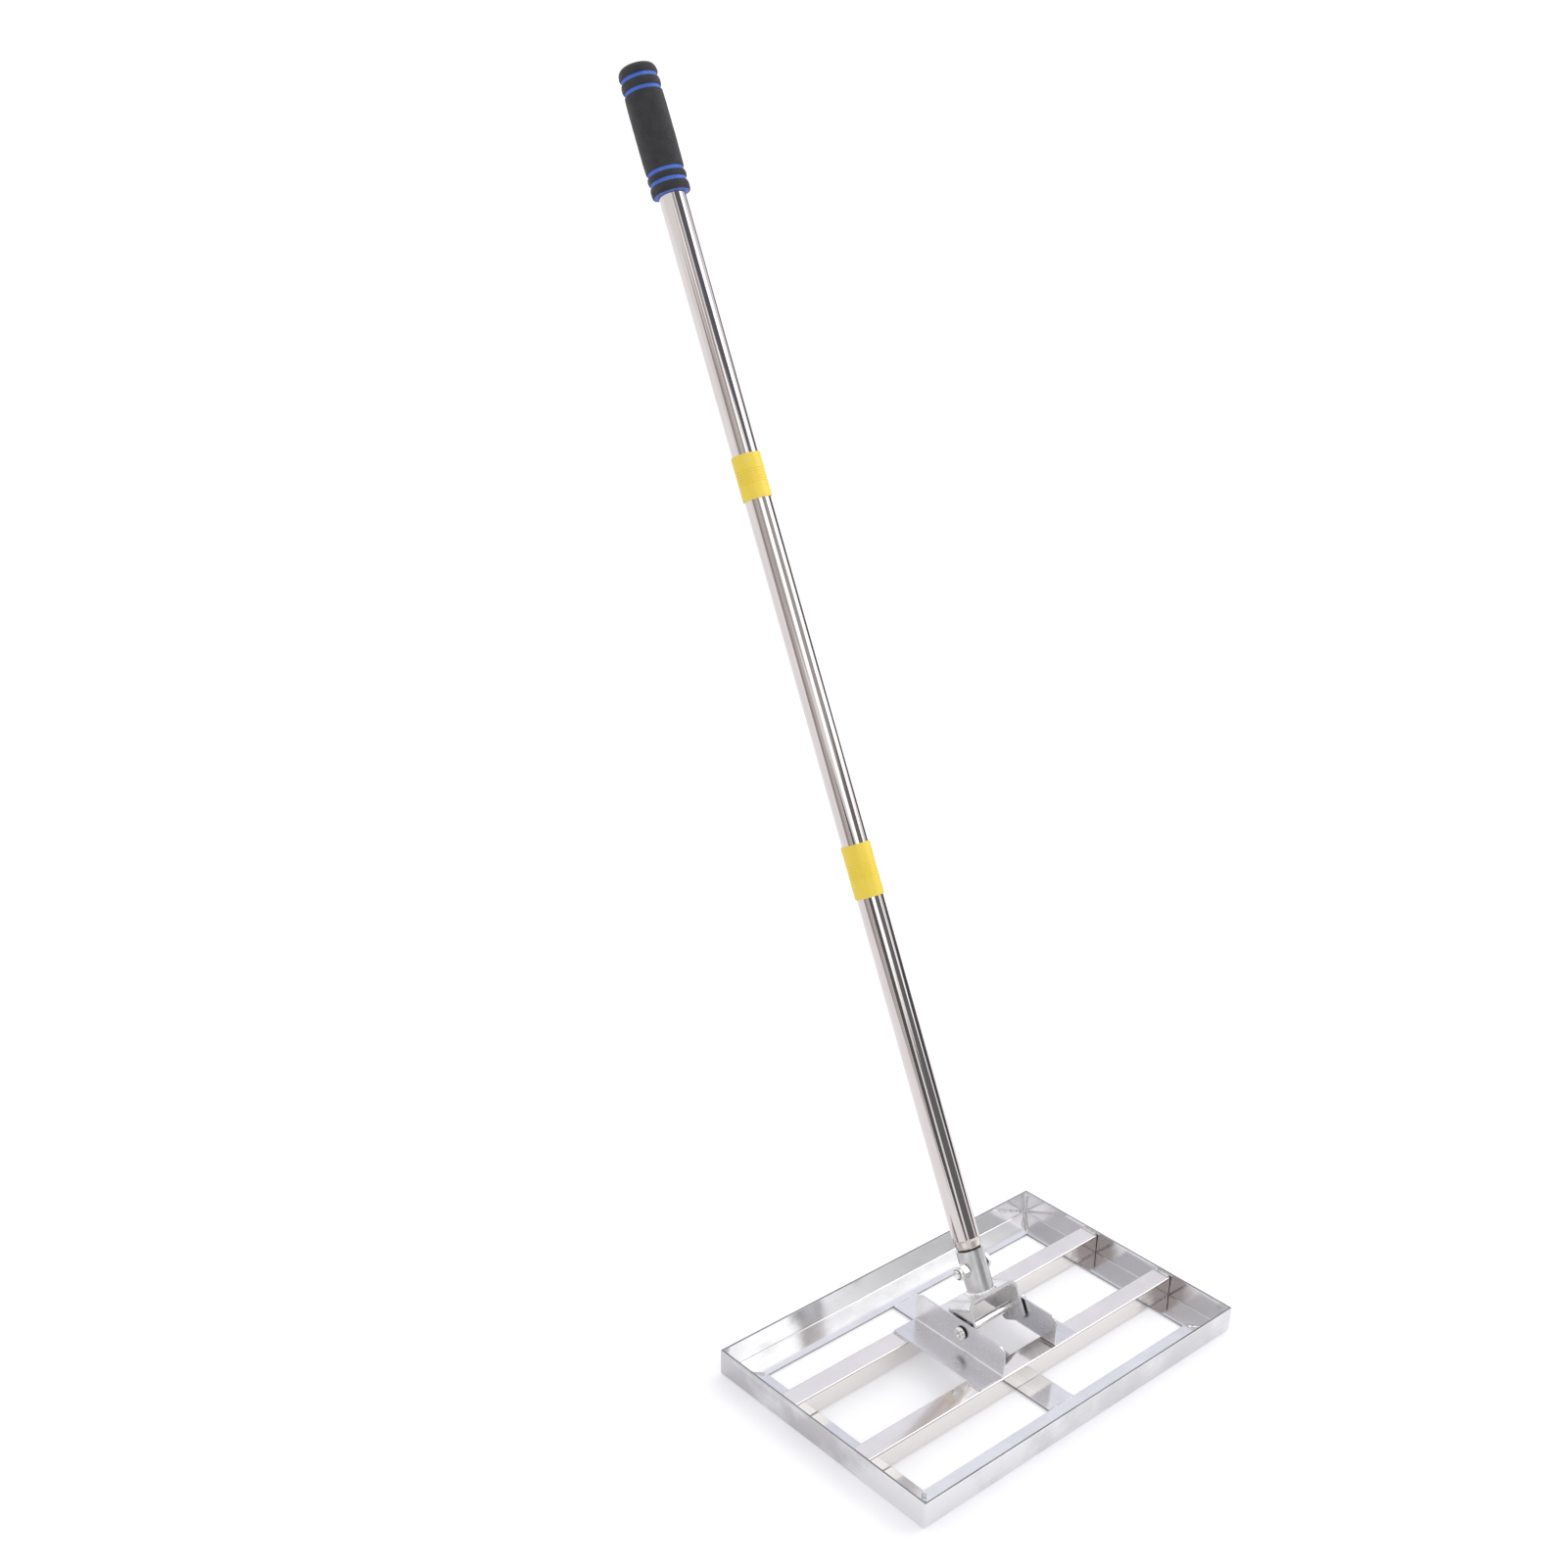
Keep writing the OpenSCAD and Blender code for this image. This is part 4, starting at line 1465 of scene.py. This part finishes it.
@dataclass
class Socket(SubAssembly):
    """The socket tube on the saddle, its weld and its cross bolt."""

    body: str = HANDLE
    wall: float = 2.0 * MM
    rim: float = 0.4 * MM
    hole: float = 4.2 * MM
    shank: float = 4.0 * MM
    across: float = 13.0 * MM
    head_height: float = 3.6 * MM
    head_edge: float = 0.2 * MM
    nut_height: float = 9.5 * MM
    pitch: float = 1.25 * MM
    bead_radius: float = 1.7 * MM
    bead_offset: float = 0.1
    bead_sides: int = 24
    bead_drops: int = 19
    steps_per_drop: int = 8
    drop_sizes: Point = (0.86, 0.2)
    lump_depth: float = 0.2
    lump_size: float = 1.6

    @property
    def radius(self) -> float:
        """Outer radius of the socket tube."""
        return self.line.radius("socket_tube")

    @property
    def cross(self) -> Matrix:
        """Matrix that lays Z along the cross bolt, towards positive X."""
        low, high = self.line.span("cross_nut")
        return Matrix.Translation((0.0, 0.0, (low + high) / 2)) @ LAY_ALONG_X

    def tube(self) -> Mesh:
        """Makes the drilled socket tube.

        Returns:
            The tube.
        """
        mesh = pipe(self.radius, self.radius - self.wall, *self.line.span("socket_tube"), self.rim)
        drill = placed(rod(self.hole, -2.0 * self.radius, 2.0 * self.radius), self.cross)
        return combined(mesh, drill, Combine.CUT)

    def weld(self) -> Mesh:
        """Makes the lumpy bead round the socket's foot.

        Returns:
            The bead.
        """
        offset = self.bead_offset * self.bead_radius
        centre = (self.radius + offset, self.line.span("socket_tube")[0] + offset)
        smallest, swell = self.drop_sizes
        last = self.bead_sides - 1
        section = arc(centre, self.bead_radius, 0.0, 360.0 * last / self.bead_sides, last)
        mesh = turned(section, closed=True, steps=self.steps_per_drop * self.bead_drops)
        for point in mesh.verts:
            turn = math.atan2(point.co.y, point.co.x)
            drop = smallest + swell * abs(math.sin(self.bead_drops * turn / 2))
            spine = Vector((centre[0] * math.cos(turn), centre[0] * math.sin(turn), centre[1]))
            point.co = spine + drop * (point.co - spine)
        return roughened(mesh, self.lump_depth * self.bead_radius, self.lump_size * self.bead_radius, 4.0)

    def bolt(self) -> Mesh:
        """Makes the cross bolt, its hexagon head on the right.

        Returns:
            The bolt.
        """
        free_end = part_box("cross_bolt")[0].x
        head = hex_block(self.across, self.head_height, self.head_edge)
        placed(head, Matrix.Translation((0.0, 0.0, self.radius)))
        shaft = threaded_rod(self.shank, free_end, -self.radius, self.radius + OVERRUN, self.pitch)
        return placed(gathered([head, shaft]), self.cross)

    def nut(self) -> Mesh:
        """Makes the lock nut on the bolt's left end."""
        mesh = LockNut(self.across, self.nut_height, self.shank).build()
        return placed(mesh, self.cross @ (Matrix.Translation((0.0, 0.0, -self.radius)) @ UPSIDE_DOWN))

    def build(self) -> list[Piece]:
        """Makes the socket, its bead, its bolt and its nut."""
        return [
            Piece("socket_body", self.tube(), (SOCKET_STEEL,), ("socket_tube",)),
            Piece("bead_socket", self.weld(), (PAINTED_HIGHLIGHT_WELD,), ("socket_weld",)),
            Piece("bolt_cross", self.bolt(), (FASTENER_STEEL,), ("cross_bolt",)),
            Piece("nut_cross", self.nut(), (FASTENER_STEEL, SHADED_STEEL), ("cross_nut",)),
        ]


@dataclass
class HandleTubes(SubAssembly):
    """The three polished tubes, the lowest with a rolled-in end."""

    body: str = HANDLE
    wall: float = 0.8 * MM
    rim: float = 0.25 * MM
    roll_length: float = 9.0 * MM
    roll_in: float = 1.0 * MM
    roll_swell: float = 0.35
    shoulder: float = 1.6 * MM
    shoulder_sweep: float = -40.0
    stain_end: float = 0.2
    lip: float = 0.9 * MM

    def rolled_tube(self) -> Mesh:
        """Makes the lower tube.

        Returns:
            The tube; the faces of its rolled end wear the second finish.
        """
        low, high = self.line.span("lower_tube")
        outer = self.line.radius("lower_tube")
        neck = outer - self.roll_in
        step = low + self.roll_length
        outline = [(neck - self.wall, low + self.lip)]
        outline += arc((neck - self.lip, low + self.lip), self.lip, -90.0, 0.0, 5)
        outline += [(neck + self.roll_swell * self.roll_in, step - 2.0 * self.shoulder)]
        outline += arc((outer - self.shoulder, step), self.shoulder, self.shoulder_sweep, 0.0, 5)
        outline += [(outer, high), (outer - self.wall, high), (outer - self.wall, step + self.shoulder)]
        stained = step - self.stain_end * self.shoulder
        return painted(turned(outline, closed=True), lambda face: face.calc_center_median().z < stained)

    def plain_tube(self, node: str) -> Mesh:
        """Makes one plain tube in the place of its solid."""
        outer = self.line.radius(node)
        return pipe(outer, outer - self.wall, *self.line.span(node), self.rim)

    def build(self) -> list[Piece]:
        """Makes the three tubes."""
        return [
            Piece("tube_lower", self.rolled_tube(), (TUBE_STEEL, ROLLED_STEEL), ("lower_tube",)),
            Piece("tube_middle", self.plain_tube("middle_tube"), (TUBE_STEEL,), ("middle_tube",)),
            Piece("tube_upper", self.plain_tube("upper_tube"), (TUBE_STEEL,), ("upper_tube",)),
        ]


@dataclass
class JointSleeves(SubAssembly):
    """The two ribbed plastic sleeves over the tube joints."""

    body: str = HANDLE
    wall: float = 1.25 * MM
    lip: float = 0.5 * MM
    grooves: int = 6
    groove_pitch: float = 2.4 * MM
    groove_half: float = 0.6
    groove_width: float = 0.9 * MM
    groove_depth: float = 0.4 * MM
    groove_steps: int = 4

    def sleeve(self, node: str) -> Mesh:
        """Makes one sleeve with its ring grooves.

        Args:
            node: The solid that it stands for.

        Returns:
            The sleeve.
        """
        low, high = self.line.span(node)
        outer = self.line.radius(node)
        inner = outer - self.wall
        outline = [(inner, low)]
        outline += arc((outer - self.lip, low + self.lip), self.lip, -90.0, 0.0, 4)
        first = (low + high) / 2 - (self.grooves - 1) * self.groove_pitch / 2
        for groove in range(self.grooves):
            middle = first + groove * self.groove_pitch
            for step in range(-self.groove_steps, self.groove_steps + 1):
                share = step / self.groove_steps
                dip = self.groove_depth * 0.5 * (1.0 + math.cos(math.pi * share))
                outline.append((outer - dip, middle + self.groove_half * share * self.groove_width))
        outline += arc((outer - self.lip, high - self.lip), self.lip, 0.0, 90.0, 4)
        outline.append((inner, high))
        return turned(outline, closed=True)

    def build(self) -> list[Piece]:
        """Makes the two sleeves."""
        return [
            Piece("sleeve_lower", self.sleeve("lower_sleeve"), (SLEEVE_PLASTIC,), ("lower_sleeve",)),
            Piece("sleeve_upper", self.sleeve("upper_sleeve"), (SLEEVE_PLASTIC,), ("upper_sleeve",)),
        ]


@dataclass
class FoamGrip(SubAssembly):
    """The two foam layers of the grip, the outer one parted by four bare bands."""

    body: str = HANDLE
    top_bands: Point = (24.0 * MM, 12.5 * MM)
    foot_bands: Point = (10.5 * MM, 20.0 * MM)
    band_width: float = 3.5 * MM
    lip: float = 0.9 * MM
    dome: float = 7.0 * MM
    bulge: float = 0.35 * MM
    row: float = 1.5 * MM
    lump: float = 0.12 * MM
    lump_size: float = 7.0 * MM
    overlap: float = 0.1 * MM

    def wall_rows(self, radius: float, low: float, high: float) -> list[Point]:
        """Points up a band's side, which swells slightly in the middle.

        Args:
            radius: Largest radius of the band.
            low: Lower end of the side.
            high: Upper end of the side.

        Returns:
            The points in order.
        """
        height = high - low
        rows = max(int(height / self.row), 2)
        shares = [row / rows for row in range(1, rows)]
        return [(radius - self.bulge * (2.0 * share - 1.0) ** 4, low + share * height) for share in shares]

    def foot_lip(self, radius: float, low: float) -> list[Point]:
        """Points round the lower lip of a layer."""
        return arc((radius - self.lip, low + self.lip), self.lip, -90.0, 0.0, 4)

    def band(self, inner: float, outer: float, low: float, high: float) -> Mesh:
        """Makes one ring of the outer layer with rounded lips.

        Args:
            inner: Inner radius.
            outer: Outer radius.
            low: Lower end.
            high: Upper end.

        Returns:
            The ring.
        """
        edge = outer - self.bulge
        outline = [(inner, high), (inner, low), *self.foot_lip(edge, low)]
        outline += self.wall_rows(outer, low + self.lip, high - self.lip)
        outline += arc((edge - self.lip, high - self.lip), self.lip, 0.0, 90.0, 4)
        return turned(outline, closed=True)

    def end_cap(self, inner: float, outer: float, low: float, floor: float, high: float) -> Mesh:
        """Makes the closed upper end of the outer layer.

        Args:
            inner: Inner radius.
            outer: Outer radius.
            low: Lower end.
            floor: Height of the end's inner face.
            high: Upper end.

        Returns:
            The cap.
        """
        edge = outer - self.bulge
        outline = [(0.0, floor), (inner, floor), (inner, low), *self.foot_lip(edge, low)]
        outline += self.wall_rows(outer, low + self.lip, high - self.dome)
        outline += arc((edge - self.dome, high - self.dome), self.dome, 0.0, 90.0, 10)
        outline += [(0.5 * (edge - self.dome), high), (0.0, high)]
        return turned(outline)

    def build(self) -> list[Piece]:
        """Makes the inner layer and the outer bands.

        Returns:
            The two layers.
        """
        low, high = self.line.span("grip_cover")
        core_low, core_high = self.line.span("grip_core")
        outer = self.line.radius("grip_cover")
        core = self.line.radius("grip_core")
        tube = self.line.radius("upper_tube")
        edges = [low + reach for reach in self.foot_bands] + [high - reach for reach in self.top_bands]
        starts = [low] + [edge + self.band_width / 2 for edge in edges]
        ends = [edge - self.band_width / 2 for edge in edges]
        inner = core - self.overlap
        meshes = [self.band(inner, outer, *pair) for pair in zip(starts, ends)]
        meshes.append(self.end_cap(inner, outer, starts[-1], core_high, high))
        cover = roughened(gathered(meshes), self.lump, self.lump_size, 1.0)
        outline = [(tube, core_high), (tube, core_low), *self.foot_lip(core, core_low)]
        outline += [(core, low + share * (core_high - low)) for share in (0.25, 0.5, 0.75)]
        outline.append((core, core_high))
        return [
            Piece("foam_core", turned(outline, closed=True), (CORE_FOAM,), ("grip_core",), fill=1.0),
            Piece("foam_cover", cover, (COVER_FOAM,), ("grip_cover",), fill=1.0),
        ]


@dataclass
class InnerPieces:
    """The solids inside the handle, which keep their shape."""

    line: HandleLine
    metal: tuple[str, ...] = ("handle_spigot",)
    plastic: tuple[str, ...] = ("lower_insert", "lower_stud", "upper_insert", "upper_stud", "tube_plug")

    def dress(self) -> None:
        """Gives every inner solid its finish."""
        # The spigot's finish is a painted shade.
        for nodes, finish in ((self.metal, SHADED_SPIGOT_METAL), (self.plastic, JOINT_PLASTIC)):
            for node in nodes:
                slots = self.line.nodes[node].data.materials
                slots.clear()
                slots.append(finish.material(self.line))
                log.info("%s: kept with %s", node, finish.name)


@dataclass(frozen=True)
class SoftBox:
    """A lamp panel round the object; angles in degrees from +X towards +Y and up."""

    name: str
    azimuth: float
    elevation: float
    width: float
    height: float
    brightness: float
    distance: float
    mirrored: bool = True


@dataclass(frozen=True)
class Flag:
    """A toned panel that only reflections show; angles in degrees."""

    name: str
    azimuth: Point
    elevation: Point
    tone: Colour
    distance: float = 9.0


@dataclass
class Studio:
    """Camera, white surroundings, pale floor, lamp panels and toned panels."""

    camera_place: Vector = field(default_factory=lambda: Vector((-1.143734, -0.963343, 1.117791)))
    camera_aim: Vector = field(default_factory=lambda: Vector((0.0, 0.290277, 0.467130)))
    camera_roll: float = math.radians(1.786)
    lens: float = 44.79
    sensor: float = 36.0
    middle: Vector = field(default_factory=lambda: Vector((0.0, 0.27, 0.57)))
    ambient: float = 0.80
    floor_tone: Colour = (0.86, 0.855, 0.89)
    floor_size: float = 80.0
    floor_drop: float = 0.0004
    floor_glow: Point = (0.24, 0.42)
    glow_reach: Point = (1.2, 6.0)
    soft_boxes: tuple[SoftBox, ...] = (
        SoftBox("lamp_rear", 42.0, 36.0, 64.0, 44.0, 0.62, 3.2),
        SoftBox("lamp_front_left", 253.5, 27.0, 24.0, 24.0, 0.9, 8.0),
        SoftBox("lamp_front_right", 309.6, 26.0, 5.6, 20.0, 0.6, 8.0),
        SoftBox("lamp_front_high", 318.0, 38.7, 13.4, 12.6, 0.45, 8.0),
        SoftBox("lamp_front_low", 313.0, 16.0, 10.0, 16.0, 0.7, 8.0),
        SoftBox("lamp_camera", 221.0, 30.0, 14.0, 12.0, 0.6, 8.0),
        SoftBox("lamp_strip", 329.0, 33.0, 28.0, 54.0, 1.2, 0.95),
        SoftBox("lamp_side", 345.0, 25.0, 50.0, 50.0, 0.8, 4.0, mirrored=False),
    )
    flags: tuple[Flag, ...] = (
        Flag("flag_rear", (8.0, 80.0), (8.0, 66.0), (0.27, 0.285, 0.37), 3.4),
        Flag("flag_left", (175.0, 192.0), (-14.0, 27.0), (0.43, 0.38, 0.37), 2.2),
        Flag("flag_left_mid", (192.0, 212.0), (-14.0, 37.0), (0.64, 0.60, 0.59), 2.2),
        Flag("flag_left_low", (214.0, 239.0), (-9.0, 14.0), (0.13, 0.125, 0.13), 2.2),
        Flag("flag_left_high", (212.0, 231.0), (23.0, 60.0), (0.50, 0.48, 0.47), 1.4),
        Flag("flag_front_low", (251.0, 306.0), (-3.0, 18.0), (0.17, 0.17, 0.18)),
        Flag("flag_front_step", (265.0, 306.0), (18.0, 25.0), (0.20, 0.20, 0.21)),
        Flag("flag_front_mid", (266.0, 306.0), (25.0, 35.5), (0.48, 0.47, 0.47)),
        Flag("flag_front_high", (249.0, 305.0), (35.5, 56.0), (0.14, 0.145, 0.17)),
        Flag("flag_right_far", (312.5, 345.0), (10.0, 32.4), (0.58, 0.58, 0.59)),
        Flag("flag_right_low", (314.0, 345.0), (-19.0, 0.5), (0.09, 0.09, 0.10), 1.7),
        Flag("flag_right", (345.0, 372.0), (-19.5, 24.0), (0.12, 0.12, 0.13), 1.7),
        Flag("flag_rear_left", (126.0, 141.0), (25.0, 50.0), (0.66, 0.65, 0.68)),
        Flag("flag_rear_mid", (141.0, 142.0), (34.3, 46.0), (0.42, 0.41, 0.43)),
        Flag("flag_rear_high", (142.0, 143.4), (35.0, 46.0), (0.42, 0.41, 0.43)),
        Flag("flag_rear_edge", (143.4, 151.0), (25.0, 36.0), (0.70, 0.69, 0.72)),
    )

    def spot(self, azimuth: float, elevation: float, distance: float) -> Vector:
        """Place at a direction and distance from the object's middle.

        Args:
            azimuth: Angle from +X towards +Y, in degrees.
            elevation: Angle up, in degrees.
            distance: Distance from the middle.

        Returns:
            The place.
        """
        turn = math.radians(azimuth)
        rise = math.radians(elevation)
        flat = math.cos(rise)
        return self.middle + distance * Vector((flat * math.cos(turn), flat * math.sin(turn), math.sin(rise)))

    def aimed(self, place: Vector, target: Vector) -> Matrix:
        """Matrix at a place that looks at a target."""
        turn = (target - place).to_track_quat("-Z", "Y").to_matrix().to_4x4()
        return Matrix.Translation(place) @ turn

    def set_camera(self) -> None:
        """Puts the camera at the viewing angle."""
        data = bpy.data.cameras.new("camera")
        data.lens = self.lens
        data.sensor_width = self.sensor
        camera = shown("camera", data)
        aim = self.aimed(self.camera_place, self.camera_aim)
        camera.matrix_world = aim @ Matrix.Rotation(self.camera_roll, 4, "Z")
        bpy.context.scene.camera = camera

    def set_world(self) -> None:
        """Makes the surroundings white and their light soft."""
        world = bpy.data.worlds.new("white_studio")
        bpy.context.scene.world = world
        world.use_nodes = True
        nodes = Nodes(world.node_tree)
        level = nodes.spread(nodes.background_share(), (0.0, 1.0), (self.ambient, 1.0))
        nodes.fill(nodes.tree.nodes["Background"], {"Color": WHITE, "Strength": level})

    def set_floor(self) -> None:
        """Lays the pale floor, which keeps the object's shadow."""
        mesh = bmesh.new()
        bmesh.ops.create_grid(mesh, x_segments=1, y_segments=1, size=self.floor_size / 2)
        bmesh.ops.translate(mesh, vec=(0.0, 0.0, -self.floor_drop), verts=mesh.verts)
        chart = Chart("pale_floor")
        glow = chart.spread(chart.far_from(Vector()), self.glow_reach, self.floor_glow)
        chart.shade(
            Base_Color=(*self.floor_tone, 1.0),
            Roughness=1.0,
            Specular_IOR_Level=0.0,
            Emission_Color=WHITE,
            Emission_Strength=chart.worked_out(Arithmetic.TIMES, glow, chart.background_share()),
        )
        self.stand("floor", mesh, chart.material)

    def stand(self, name: str, mesh: Mesh, material: bpy.types.Material) -> bpy.types.Object:
        """Puts a stage mesh into the scene.

        Args:
            name: Its name.
            mesh: Its shape.
            material: What it wears.

        Returns:
            The object.
        """
        data = stored(mesh, name)
        data.materials.append(material)
        return shown(name, data)

    def hang_lamp(self, box: SoftBox) -> None:
        """Hangs one lamp panel, facing the object.

        Args:
            box: The panel.
        """
        data = bpy.data.lights.new(box.name, "AREA")
        data.shape = "RECTANGLE"
        data.size = 2.0 * box.distance * math.tan(math.radians(box.width / 2))
        data.size_y = 2.0 * box.distance * math.tan(math.radians(box.height / 2))
        data.energy = box.brightness * math.pi * data.size * data.size_y
        lamp = shown(box.name, data)
        lamp.matrix_world = self.aimed(self.spot(box.azimuth, box.elevation, box.distance), self.middle)
        lamp.visible_camera = False
        lamp.visible_glossy = box.mirrored

    def hang_flag(self, flag: Flag) -> None:
        """Hangs one curved toned panel that only reflections show.

        Args:
            flag: The panel.
        """
        mesh = bmesh.new()
        bmesh.ops.create_grid(mesh, x_segments=8, y_segments=6, size=1.0)
        for point in mesh.verts:
            azimuth = flag.azimuth[0] + (flag.azimuth[1] - flag.azimuth[0]) * (point.co.x + 1.0) / 2
            elevation = flag.elevation[0] + (flag.elevation[1] - flag.elevation[0]) * (point.co.y + 1.0) / 2
            point.co = self.spot(azimuth, elevation, flag.distance)
        chart = Chart(flag.name)
        chart.shade(Base_Color=BLACK, Roughness=1.0, Specular_IOR_Level=0.0)
        chart.shade(Emission_Color=(*flag.tone, 1.0), Emission_Strength=1.0)
        panel = self.stand(flag.name, mesh, chart.material)
        panel.visible_camera = False
        panel.visible_diffuse = False
        panel.visible_transmission = False
        panel.visible_shadow = False

    def set_up(self) -> None:
        """Sets up the whole studio."""
        bpy.context.scene.view_settings.view_transform = "Standard"
        self.set_camera()
        self.set_world()
        self.set_floor()
        for box in self.soft_boxes:
            self.hang_lamp(box)
        for flag in self.flags:
            self.hang_flag(flag)
        log.info("studio: %d lamps, %d toned panels", len(self.soft_boxes), len(self.flags))


def main() -> None:
    """Builds the rake's sub-assemblies in order and sets up the studio."""
    logging.basicConfig(level=logging.INFO, format="%(name)s %(message)s")
    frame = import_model()
    line = HandleLine.from_frame(frame)
    assemblies = (
        HeadRails(line), CrossBars(line), PivotLugs(line), PivotBolt(line), Saddle(line), Socket(line),
        HandleTubes(line), JointSleeves(line), FoamGrip(line), InnerPieces(line),
    )
    for assembly in assemblies:
        assembly.dress()
    Studio().set_up()


if __name__ == "__main__":
    main()
